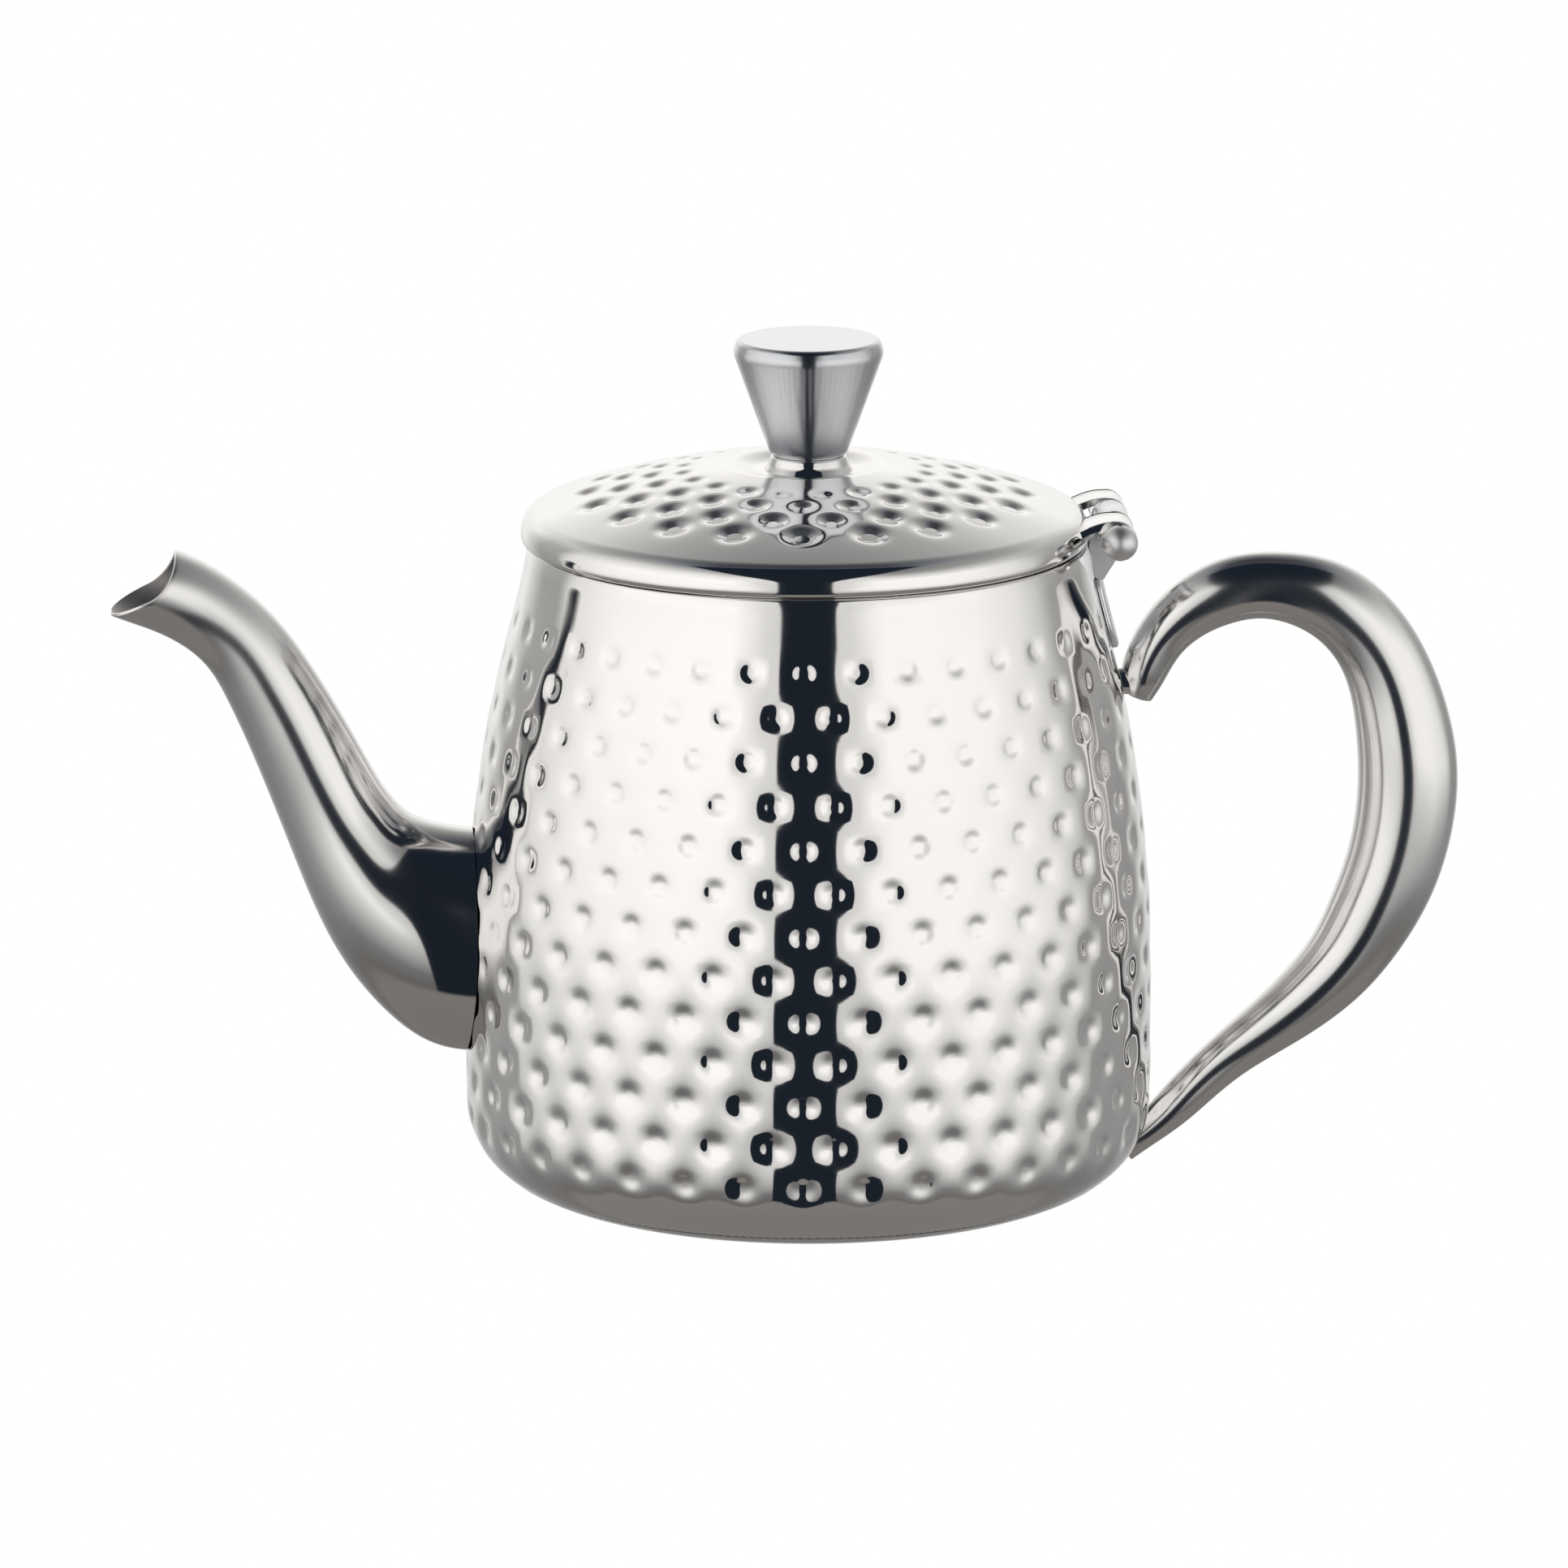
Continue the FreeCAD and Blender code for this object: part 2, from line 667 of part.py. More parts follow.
def ball(name, side):
    """Ball on the pin, flat where it meets the outer knuckle.  Side is -1 at the front."""
    globe = DOC.addObject("Part::Sphere", name + "_globe")
    bind(globe, "Radius", "ball_radius")
    bind(globe, "Placement.Base.x", "pin_x")
    bind(globe, "Placement.Base.y", "%d * ball_offset" % side)
    bind(globe, "Placement.Base.z", "pin_height")
    start = "-leaf_half_width" if side < 0 else "-3 * leaf_half_width"
    inner = block(name + "_inner", ("0", start, "0"), ("2 * pin_x", "4 * leaf_half_width", "2 * pin_height"))
    return cut(name, globe, inner)


def make_hinge_pin():
    front = ball("front_ball", -1)
    rod = y_cylinder("pin_rod", "pin_x", "pin_height", "pin_radius", "ball_offset")
    fuse("hinge_pin", [front, rod])
    cut("hinge_pin_ball", ball("rear_ball", 1), rod)


# ---------------------------------------------------------------- lid and knob

LID_START = ("lid_radius - lid_curl", "lid_height - lid_curl")
LID_OUTLINE = (
    ("lid_radius", "lid_height", "lid_curl", 1),
    ("lid_shoulder_radius", "lid_shoulder_height", "lid_shoulder_arc", 1),
    ("lid_mid_radius", "lid_mid_height", "lid_dome_arc", 1),
    ("lid_crown_radius", "lid_crown_height", "lid_crown_arc", 1),
    ("lid_dish_radius", "lid_dish_height", "lid_dish_arc", 1),
)


def make_lid_shell():
    turned("lid_shell", (LID_START,) + LID_OUTLINE + (
        ("screw_hole_radius", "lid_dish_height"),
        ("screw_hole_radius", "lid_dish_height - wall"),
        ("lid_dish_radius", "lid_dish_height - wall"),
        ("lid_crown_radius - lid_crown_lean * wall", "lid_crown_height - wall", "lid_dish_arc - wall", -1),
        ("lid_mid_radius - lid_mid_lean * wall", "lid_mid_height - lid_mid_drop * wall", "lid_crown_arc", -1),
        ("lid_shoulder_radius - lid_shoulder_lean * wall", "lid_shoulder_height - lid_shoulder_drop * wall",
         "lid_dome_arc", -1),
        ("lid_radius - wall", "lid_height", "lid_shoulder_arc - wall", -1),
        ("lid_radius - lid_curl", "lid_height - lid_curl + wall", "lid_curl - wall", -1),
    ))


def make_lid_skirt():
    """Locating ring that drops inside the mouth."""
    top = "lid_height - lid_curl + wall"
    turned("lid_skirt", (
        ("skirt_radius - wall", "skirt_bottom"),
        ("skirt_radius", "skirt_bottom"),
        ("skirt_radius", top),
        ("skirt_radius - wall", top),
    ))


def make_knob():
    bore_end = "knob_foot_height + screw_depth"
    turned("knob", (
        ("0", bore_end),
        ("screw_radius", bore_end),
        ("screw_radius", "knob_foot_height"),
        ("knob_foot_radius", "knob_foot_height"),
        ("knob_waist_radius", "knob_waist_height", "knob_foot_arc", 1),
        ("knob_brow_radius", "knob_brow_height"),
        ("knob_edge_radius", "knob_top_height", "knob_edge_arc", 1),
        ("0", "knob_top_height"),
    ))


def make_knob_collar():
    turned("knob_collar", (
        ("screw_hole_radius", "lid_dish_height"),
        ("knob_collar_radius + knob_collar_flare", "lid_dish_height"),
        ("knob_collar_radius", "lid_dish_height + knob_collar_flare"),
        ("knob_collar_radius", "knob_foot_height - 2 * knob_groove_width"),
        ("knob_groove_radius", "knob_foot_height - knob_groove_width"),
        ("knob_groove_radius", "knob_foot_height"),
        ("screw_hole_radius", "knob_foot_height"),
    ))


def make_knob_washer():
    top = "lid_dish_height - wall"
    turned("knob_washer", (
        ("screw_hole_radius", top + " - washer_height"),
        ("washer_radius", top + " - washer_height"),
        ("washer_radius", top),
        ("screw_hole_radius", top),
    ))


def make_knob_screw():
    under_head = "lid_dish_height - wall - washer_height"
    shank_end = "knob_foot_height + screw_depth - screw_tip_gap"
    turned("knob_screw", (
        ("0", under_head + " - screw_head_height"),
        ("screw_head_radius", under_head + " - screw_head_height"),
        ("screw_head_radius", under_head),
        ("screw_radius", under_head),
        ("screw_radius", shank_end),
        ("0", shank_end),
    ))


# ---------------------------------------------------------------- infuser

def make_infuser_wall():
    top = "ledge_height + wall"
    body = turned("infuser_wall", (
        ("basket_radius - basket_wall", "basket_bottom"),
        ("basket_radius", "basket_bottom"),
        ("basket_radius", top),
        ("basket_radius - basket_wall", top),
    ))
    slot = (
        ("-basket_slot_width / 2", "basket_slot_bottom"),
        ("basket_slot_width / 2", "basket_slot_bottom"),
        ("basket_slot_width / 2", "basket_slot_top"),
        ("-basket_slot_width / 2", "basket_slot_top"),
    )
    first = pocket(body, "wall_slot", "YZ_Plane", lambda sketch: outline(sketch, slot),
                   "basket_radius + tool_reach")
    polar(body, "wall_slot_ring", first, "basket_slots")


def make_infuser_floor():
    body = turned("infuser_floor", (
        ("0", "basket_bottom"),
        ("basket_radius - basket_wall", "basket_bottom"),
        ("basket_radius - basket_wall", "basket_bottom + basket_wall"),
        ("0", "basket_bottom + basket_wall"),
    ))
    row = [("floor_hole_start + %d * floor_hole_pitch" % ring, "0") for ring in range(FLOOR_HOLE_RINGS)]
    holes = pocket(body, "floor_holes", "XY_Plane", lambda sketch: circles(sketch, row, "floor_hole_radius"),
                   "2 * basket_bottom + tool_reach", symmetric=True)
    polar(body, "floor_hole_ring", holes, "floor_columns")


def make_infuser_rim():
    turned("infuser_rim", (
        ("basket_radius", "ledge_height - basket_collar_drop"),
        ("basket_radius + basket_collar", "ledge_height - basket_collar_drop"),
        ("basket_radius + basket_collar", "ledge_height"),
        ("basket_rim_radius", "ledge_height"),
        ("basket_rim_radius", "ledge_height + wall"),
        ("basket_radius", "ledge_height + wall"),
    ))


# Folded finger tabs: side, lowest y of the upright and lowest y of the fold.
TABS = (
    ("front", "-basket_radius - tab_thickness / 2", "-basket_radius - tab_thickness / 2"),
    ("rear", "basket_radius - tab_thickness / 2", "basket_radius + tab_thickness / 2 - tab_reach"),
)


def make_infuser_tabs():
    base = "ledge_height + wall"
    pieces = []
    for side, edge, lip in TABS:
        upright = block("tab_%s_upright" % side, ("-tab_width / 2", edge, base),
                        ("tab_width", "tab_thickness", "tab_height"))
        fold = block("tab_%s_fold" % side, ("-tab_width / 2", lip, base + " + tab_height - tab_thickness"),
                     ("tab_width", "tab_reach", "tab_thickness"))
        pieces.append(fuse("tab_" + side, [upright, fold]))
    compound = DOC.addObject("Part::Compound", "infuser_tabs")
    compound.Links = pieces


# ---------------------------------------------------------------- checking and writing

def check_document():
    DOC.recompute()
    for thing in DOC.Objects:
        if "Invalid" in thing.State or "Error" in thing.State:
            raise ValueError("%s failed: %s" % (thing.Label, thing.State))


def write_parts():
    os.makedirs("parts", exist_ok=True)
    for name in NODES:
        shape = DOC.getObjectsByLabel(name)[0].Shape
        if shape.isNull() or not shape.isValid() or not shape.Solids:
            raise ValueError(name + " has no valid solid")
        print("%-24s %9.1f mm3  %d solid(s)" % (name, shape.Volume, len(shape.Solids)))
        shape.exportStep("parts/%s.step" % name)


NODES = (
    "body_shell", "base_pan", "mouth_ring",
    "spout_front_half", "spout_rear_half",
    "handle_front_half", "handle_rear_half", "handle_upper_plug", "handle_lower_plug", "handle_weld_neck",
    "hinge_bracket", "hinge_leaf", "hinge_pin", "hinge_pin_ball",
    "lid_shell", "lid_skirt", "knob", "knob_collar", "knob_washer", "knob_screw",
    "infuser_wall", "infuser_floor", "infuser_rim", "infuser_tabs",
)


def main():
    blank = pot_blank()
    make_body_shell()
    make_base_pan()
    make_mouth_ring()
    make_spout(blank)
    outside, inside = make_handle(blank)
    make_handle_ends(blank, outside, inside)
    make_hinge_bracket(blank)
    make_hinge_leaf()
    make_hinge_pin()
    make_lid_shell()
    make_lid_skirt()
    make_knob()
    make_knob_collar()
    make_knob_washer()
    make_knob_screw()
    make_infuser_wall()
    make_infuser_floor()
    make_infuser_rim()
    make_infuser_tabs()
    check_document()
    write_parts()


main()
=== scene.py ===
import json
import math
import bpy
import numpy as np
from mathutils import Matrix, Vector


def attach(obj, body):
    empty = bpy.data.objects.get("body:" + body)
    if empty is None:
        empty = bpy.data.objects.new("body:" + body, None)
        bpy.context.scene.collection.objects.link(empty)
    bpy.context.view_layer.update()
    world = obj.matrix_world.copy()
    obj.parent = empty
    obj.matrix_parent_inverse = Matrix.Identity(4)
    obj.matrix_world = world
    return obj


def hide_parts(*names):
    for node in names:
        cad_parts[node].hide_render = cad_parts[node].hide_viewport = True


# Looks of the hammered steel teapot.  Shapes are worked out in millimetres and built in metres.

MM = 0.001
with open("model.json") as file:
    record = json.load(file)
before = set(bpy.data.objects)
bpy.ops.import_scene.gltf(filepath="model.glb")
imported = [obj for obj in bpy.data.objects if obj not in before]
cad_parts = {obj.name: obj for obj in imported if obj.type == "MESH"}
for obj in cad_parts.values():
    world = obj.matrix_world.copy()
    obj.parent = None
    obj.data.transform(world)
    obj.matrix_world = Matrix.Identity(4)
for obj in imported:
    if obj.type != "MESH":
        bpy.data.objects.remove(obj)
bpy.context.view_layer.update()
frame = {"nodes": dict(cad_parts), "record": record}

# ---------------------------------------------------------------- dimensions (mm)

WALL = 0.8
TUBE_WALL = 0.7
FOOT_RADIUS = 44.6
# Radius of the corner between base and wall, and the angles of the seam in it and of its upper end.
CORNER = 14.5
SEAM_ANGLE = math.radians(35)
CORNER_END = math.radians(82)
MOUTH_LIP = 111.7
BODY_SIDE = ((59.14, 17.0), (59.17, 28.0), (58.95, 45.0), (58.4, 55.0), (57.4, 65.0), (56.0, 75.0),
             (54.15, 85.0), (51.75, 95.0), (49.7, 103.0), (48.7, 107.6), (48.3, 109.8), (47.75, MOUTH_LIP))

# Rows of dents on the body, each turned by half a pitch from the next.
BODY_ROWS = 13
BODY_DENTS = 36
ROW_LOW = 12.5
ROW_PITCH = 7.27
DENT_TURN = math.radians(-3.95)
# Each dent is a crisp dimple in a wide bowl: the dimple's reach, depth and power, then the bowl's reach and
# depth.  The dents change evenly from those of the bottom row to those of the top row.
TOP_DENT = (1.62, 0.26, 3.2, 2.6, 0.06)
BOTTOM_DENT = (1.95, 0.37, 2.6, 3.5, 0.38)

LID_EDGE = 48.6
LID_HEIGHT = 113.2
LID_CURL = 1.2
# Width and height of the rounded shoulder between the lid's edge and its dome.
LID_SHOULDER = (4.9, 4.75)
LID_SHOULDER_POWER = 2.3
LID_SHOULDER_END = 1.2
LID_TOP = 126.2
LID_SHIFT = -0.6
# Rings of dents on the lid: radius, whether the ring is turned by half a step, and the dent.
LID_RINGS = ((36.9, 0, (2.45, 0.90, 2.6, 3.0, 0.1)), (31.6, 1, (2.20, 0.80, 2.6, 3.0, 0.1)),
             (26.2, 0, (2.0, 0.70, 2.6, 2.8, 0.05)), (21.0, 1, (1.6, 0.46, 2.6, 2.6, 0.05)))
LID_DENTS = 20
# Dish round the knob: inner radius, outer radius and depth.
DISH = (7.6, 14.0, 1.6)
SCREW_HOLE = 2.2

# Where each cross-section of the spout meets its top line and its bottom line, and its width as a share.
SPOUT_STATIONS = (
    ((-48.0, 61.6), (-48.0, 22.8), 0.72),
    ((-57.0, 61.9), (-57.6, 22.9), 0.72),
    ((-64.4, 63.1), (-67.6, 25.8), 0.74),
    ((-68.9, 65.0), (-78.2, 36.4), 0.81),
    ((-71.8, 68.0), (-85.0, 48.8), 0.90),
    ((-74.6, 72.3), (-89.8, 61.2), 0.97),
    ((-79.4, 81.2), (-95.2, 75.2), 0.97),
    ((-86.1, 92.4), (-99.3, 84.6), 0.97),
    ((-93.0, 101.2), (-103.5, 91.7), 0.97),
    ((-101.6, 108.1), (-109.6, 96.3), 1.0),
    ((-110.2, 111.9), (-115.4, 98.8), 1.20),
    ((-119.6, 113.4), (-121.6, 101.2), 1.50),
)
# The pouring mouth is cut upright at its top, then round a fillet and along a slope down to the lip.
MOUTH_TOP_X = -108.0
MOUTH_SLOPE_FOOT = (-119.3, 100.35)
MOUTH_SLOPE = math.radians(27)
MOUTH_FILLET = 4.6
LIP_X = -119.2

# Where each cross-section of the handle meets the outside and the inside of its loop.
HANDLE_STATIONS = (
    ((54.6, 84.9), (59.2, 83.4), 0.93),
    ((53.9, 88.9), (61.2, 86.6), 0.93),
    ((56.6, 96.0), (64.0, 91.2), 0.93),
    ((62.3, 102.9), (68.2, 94.7), 0.93),
    ((70.6, 107.7), (73.4, 96.8), 0.93),
    ((80.7, 108.9), (79.6, 97.2), 0.93),
    ((93.4, 105.9), (87.0, 94.0), 0.93),
    ((104.4, 94.8), (92.2, 87.2), 0.93),
    ((110.6, 79.6), (94.3, 78.0), 0.93),
    ((112.0, 66.6), (94.8, 67.6), 0.93),
    ((109.9, 54.2), (93.4, 57.0), 0.93),
    ((105.0, 42.8), (90.4, 48.0), 0.93),
    ((96.3, 31.2), (86.0, 39.2), 0.93),
    ((85.2, 22.7), (77.6, 29.9), 0.93),
    ((74.8, 16.2), (69.6, 22.6), 0.93),
    ((66.4, 9.0), (62.6, 15.4), 0.93),
    ((60.2, 4.4), (57.0, 8.8), 0.93),
    ((56.2, 1.6), (53.4, 5.6), 0.93),
)

# Outlines of the knob and its collar: (radius, height, corner radius).
KNOB = ((0.0, 126.9, 0), (6.1, 126.9, 0.5), (6.8, 127.8, 1.2), (12.95, 144.8, 2.6), (12.15, 147.0, 1.1),
        (0.0, 147.0, 0))
KNOB_COLLAR = ((2.2, 124.0, 0), (7.9, 124.0, 0), (6.9, 125.4, 2.0), (6.4, 126.9, 0.5), (2.2, 126.9, 0))

# Turn of the photographed view and of the light tent about the pot's axis.
AZIMUTH = math.radians(-3.0)


# ---------------------------------------------------------------- curves

def spline(knots, samples):
    """Natural cubic spline through the knots, one per unit of its parameter, read at the samples."""
    knots = np.asarray(knots, float)
    count = len(knots)
    matrix = np.eye(count) * 4
    matrix[0, 0] = matrix[-1, -1] = 2
    matrix += np.diag(np.ones(count - 1), 1) + np.diag(np.ones(count - 1), -1)
    change = np.zeros_like(knots)
    change[1:-1] = 3 * (knots[2:] - knots[:-2])
    change[0] = 3 * (knots[1] - knots[0])
    change[-1] = 3 * (knots[-1] - knots[-2])
    slope = np.linalg.solve(matrix, change)
    where = np.clip(np.floor(samples).astype(int), 0, count - 2)
    step = (np.asarray(samples, float) - where)[..., None]
    start, end = knots[where], knots[where + 1]
    first, last = slope[where], slope[where + 1]
    square, cube = step ** 2, step ** 3
    return (start * (2 * cube - 3 * square + 1) + first * (cube - 2 * square + step)
            + end * (3 * square - 2 * cube) + last * (cube - square))


def even(points, count):
    """The same line with its points evenly spaced."""
    points = np.asarray(points, float)
    run = np.concatenate([[0], np.cumsum(np.linalg.norm(np.diff(points, axis=0), axis=1))])
    marks = np.linspace(0, run[-1], count)
    return np.stack([np.interp(marks, run, points[:, axis]) for axis in range(points.shape[1])], 1)


def smooth_line(knots, count):
    """Spline through knots that aren't evenly spaced, read at evenly spaced points."""
    knots = np.asarray(knots, float)
    run = np.concatenate([[0], np.cumsum(np.sqrt(np.linalg.norm(np.diff(knots, axis=0), axis=1)))])
    position = np.interp(np.linspace(0, run[-1], 40 * len(knots)), run, np.arange(len(knots)))
    return even(spline(knots, position), count)


def outward(profile):
    """Unit normals of a turned outline that is walked with the outside on its right."""
    along = np.gradient(profile, axis=0)
    normal = np.stack([along[:, 1], -along[:, 0]], 1)
    return normal / np.linalg.norm(normal, axis=1)[:, None]


def rounded(corners, steps=8):
    """Outline through (x, y, radius) corners, with an arc of that radius at each."""
    spots = [np.array(corner[:2], float) for corner in corners]
    line = []
    for index, corner in enumerate(corners):
        radius = corner[2]
        if radius == 0 or index in (0, len(corners) - 1):
            line.append(spots[index])
            continue
        back = spots[index - 1] - spots[index]
        ahead = spots[index + 1] - spots[index]
        back /= np.linalg.norm(back)
        ahead /= np.linalg.norm(ahead)
        half = math.acos(np.clip(back @ ahead, -1, 1)) / 2
        middle = back + ahead
        centre = spots[index] + middle / np.linalg.norm(middle) * radius / math.sin(half)
        first = spots[index] + back * radius / math.tan(half) - centre
        last = spots[index] + ahead * radius / math.tan(half) - centre
        sweep = math.pi - 2 * half
        for step in range(steps + 1):
            share = step / steps
            line.append(centre + (first * math.sin((1 - share) * sweep) + last * math.sin(share * sweep))
                        / math.sin(sweep))
    return np.array(line)


# ---------------------------------------------------------------- meshes

def grid_faces(rows, columns, wrap_rows=False, wrap_columns=True, start=0):
    """Quads of a grid of points, row by row."""
    down = np.arange(rows if wrap_rows else rows - 1)
    across = np.arange(columns if wrap_columns else columns - 1)
    down, across = [part.ravel() for part in np.meshgrid(down, across, indexing="ij")]
    below = (down + 1) % rows
    beside = (across + 1) % columns
    return np.stack([down * columns + across, down * columns + beside,
                     below * columns + beside, below * columns + across], 1) + start


def new_mesh(name, points, faces, material, body, nodes=(), sharp=40, normals=None):
    """Mesh piece from points in mm, smooth apart from its sharp edges, riding on a body."""
    mesh = bpy.data.meshes.new(name)
    mesh.from_pydata((np.asarray(points) * MM).tolist(), [], [list(map(int, face)) for face in faces])
    mesh.validate()
    mesh.polygons.foreach_set("use_smooth", [True] * len(mesh.polygons))
    mesh.set_sharp_from_angle(angle=math.radians(sharp))
    if normals is not None:
        normals = normals / np.linalg.norm(normals, axis=1)[:, None]
        mesh.normals_split_custom_set_from_vertices(normals.tolist())
    mesh.materials.append(material)
    piece = bpy.data.objects.new(name, mesh)
    bpy.context.scene.collection.objects.link(piece)
    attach(piece, body)
    if nodes:
        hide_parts(*nodes)
    return piece


def ring_points(profile, angles):
    """Points of a turned outline (radius, height) at each angle, measured from -Y towards +X."""
    radius, height = profile[:, 0][:, None], profile[:, 1][:, None]
    return np.stack([radius * np.sin(angles), -radius * np.cos(angles), height + 0 * angles], -1)


def turned_points(flat, angle):
    """Points from (radius, height) pairs, each at its own angle from -Y towards +X."""
    return np.stack([flat[:, 0] * np.sin(angle), -flat[:, 0] * np.cos(angle), flat[:, 1]], 1)


def turned_mesh(name, profile, material, body, nodes=(), segments=192, closed=False):
    """Turned piece.  The outline goes up its outside.  A point on the axis becomes one vertex."""
    profile = np.asarray(profile, float)
    angles = np.arange(segments) * 2 * math.pi / segments
    poles = [profile[0, 0] < 1e-6, profile[-1, 0] < 1e-6]
    inner = profile[int(poles[0]):len(profile) - int(poles[1])]
    points = ring_points(inner, angles).reshape(-1, 3)
    faces = grid_faces(len(inner), segments, wrap_rows=closed).tolist()
    extra = []
    for pole, row, flip in ((0, 0, True), (1, len(inner) - 1, False)):
        if poles[pole]:
            tip = len(points) + len(extra)
            extra.append([0, 0, profile[-1 if pole else 0, 1]])
            for column in range(segments):
                first = row * segments + column
                second = row * segments + (column + 1) % segments
                faces.append([second, first, tip] if flip else [first, second, tip])
    if extra:
        points = np.concatenate([points, np.array(extra)])
    return new_mesh(name, points, faces, material, body, nodes)


# ---------------------------------------------------------------- materials

QUARTER_TURN = 0.25
# Grain of a satin surface: how much finer it is than the buffing, and its height in metres.
GRAIN_FINENESS = 25
GRAIN_HEIGHT = 0.0001


def steel(name, colour, roughness, spread, scale, bump=0.0, turned=0.0, haze=None):
    """Polished or satin steel: roughness that varies like a buffed surface, with a faint relief.

    turned stretches reflections up and down, as the grooves of a lathe do.  haze is (axis, place where it
    starts, place where it is full, extra roughness), with the places in metres.
    """
    material = bpy.data.materials.new(name)
    material.use_nodes = True
    nodes, links = material.node_tree.nodes, material.node_tree.links
    shader = nodes["Principled BSDF"]
    shader.inputs["Base Color"].default_value = (*colour, 1)
    shader.inputs["Metallic"].default_value = 1.0
    shader.inputs["Anisotropic"].default_value = turned
    shader.inputs["Anisotropic Rotation"].default_value = QUARTER_TURN
    place = nodes.new("ShaderNodeTexCoord")
    noise = nodes.new("ShaderNodeTexNoise")
    noise.inputs["Scale"].default_value = scale
    noise.inputs["Detail"].default_value = 4.0
    links.new(place.outputs["Object"], noise.inputs["Vector"])
    ramp = nodes.new("ShaderNodeMapRange")
    ramp.inputs["From Min"].default_value = 0.3
    ramp.inputs["From Max"].default_value = 0.7
    ramp.inputs["To Min"].default_value = roughness - spread
    ramp.inputs["To Max"].default_value = roughness + spread
    links.new(noise.outputs["Fac"], ramp.inputs["Value"])
    if haze:
        split = nodes.new("ShaderNodeSeparateXYZ")
        links.new(place.outputs["Object"], split.inputs["Vector"])
        fade = nodes.new("ShaderNodeMapRange")
        fade.interpolation_type = "SMOOTHSTEP"
        fade.inputs["From Min"].default_value = haze[1]
        fade.inputs["From Max"].default_value = haze[2]
        fade.inputs["To Max"].default_value = haze[3]
        links.new(split.outputs[haze[0]], fade.inputs["Value"])
        total = nodes.new("ShaderNodeMath")
        links.new(ramp.outputs["Result"], total.inputs[0])
        links.new(fade.outputs["Result"], total.inputs[1])
        links.new(total.outputs["Value"], shader.inputs["Roughness"])
    else:
        links.new(ramp.outputs["Result"], shader.inputs["Roughness"])
    if bump:
        grain = nodes.new("ShaderNodeTexNoise")
        grain.inputs["Scale"].default_value = scale * GRAIN_FINENESS
        links.new(place.outputs["Object"], grain.inputs["Vector"])
        relief = nodes.new("ShaderNodeBump")
        relief.inputs["Strength"].default_value = bump
        relief.inputs["Distance"].default_value = GRAIN_HEIGHT
        links.new(grain.outputs["Fac"], relief.inputs["Height"])
        links.new(relief.outputs["Normal"], shader.inputs["Normal"])
    return material


# The spout's buffing gets coarser towards its mouth, and the knob's flat top is smoother than its side.
SPOUT_HAZE = ("X", -0.060, -0.102, 0.17)
KNOB_TOP_SHINE = ("Z", 0.1462, 0.1468, -0.15)

POLISHED = steel("polished_steel", (0.86, 0.848, 0.835), 0.06, 0.015, 60)
SPOUT_STEEL = steel("spout_steel", (0.79, 0.78, 0.77), 0.06, 0.015, 60, haze=SPOUT_HAZE)
HANDLE_STEEL = steel("handle_steel", (0.80, 0.79, 0.78), 0.15, 0.02, 60)
# Inside of the spout: the same steel made rougher and painted darker, as painted shade in the tube's hollow.
SPOUT_INSIDE_SHADED_STEEL = steel("spout_inside_shaded_steel", (0.50, 0.48, 0.47), 0.50, 0.05, 90)
KNOB_STEEL = steel("knob_steel", (0.70, 0.715, 0.74), 0.23, 0.02, 90, turned=0.95, haze=KNOB_TOP_SHINE)
BRACKET_STEEL = steel("bracket_steel", (0.93, 0.945, 0.97), 0.34, 0.04, 120)
PIN_STEEL = steel("pin_steel", (0.84, 0.835, 0.83), 0.40, 0.04, 150)
SATIN = steel("satin_steel", (0.66, 0.65, 0.63), 0.28, 0.05, 120, bump=0.15)
MATERIALS = {"polished_steel": POLISHED, "knob_steel": KNOB_STEEL, "satin_steel": SATIN}


def dress_cad_nodes():
    """Give every CAD node that stays the material of its slot."""
    for part in frame["record"]["subparts"]:
        node = frame["nodes"][part["node"]]
        node.data.materials.clear()
        node.data.materials.append(MATERIALS[part["material_slot"]])


# ---------------------------------------------------------------- pot body

def body_line(count=400):
    """Outside of the pot's body from the seam to the mouth."""
    corner = [(FOOT_RADIUS + CORNER * math.sin(angle), CORNER - CORNER * math.cos(angle))
              for angle in np.linspace(SEAM_ANGLE, CORNER_END, 5)]
    return smooth_line(corner + list(BODY_SIDE), count)


BODY_LINE = body_line()
FOOT_ARC = np.array([(FOOT_RADIUS + CORNER * math.sin(angle), CORNER - CORNER * math.cos(angle))
                     for angle in np.linspace(0, SEAM_ANGLE, 12)[:-1]])


def body_radius(height):
    """Outer radius of the pot at a height."""
    line = np.concatenate([FOOT_ARC, BODY_LINE])
    return np.interp(height, line[:, 1], line[:, 0])


def hollow(distance, dent):
    """Depth of a round dent at a distance from its centre."""
    reach, depth, power, bowl_reach, bowl_depth = dent
    return depth * np.exp(-(distance / reach) ** power) + bowl_depth * np.exp(-(distance / bowl_reach) ** 2)


def between(first, last, share):
    """Values part of the way from one set to another."""
    return tuple(start + (end - start) * share for start, end in zip(first, last))


def wrapped(angle, pitch):
    """Angle to the nearest of a set of places that are one pitch apart."""
    return (angle + pitch / 2) % pitch - pitch / 2


# Rings of vertices around each dent, as shares of its reach.
DENT_RINGS = (0.12, 0.26, 0.38, 0.5, 0.62, 0.74, 0.86, 1.0, 1.15, 1.3)
# Edges along the long and the short side of the patch round a dent.
BRICK = (14, 10)


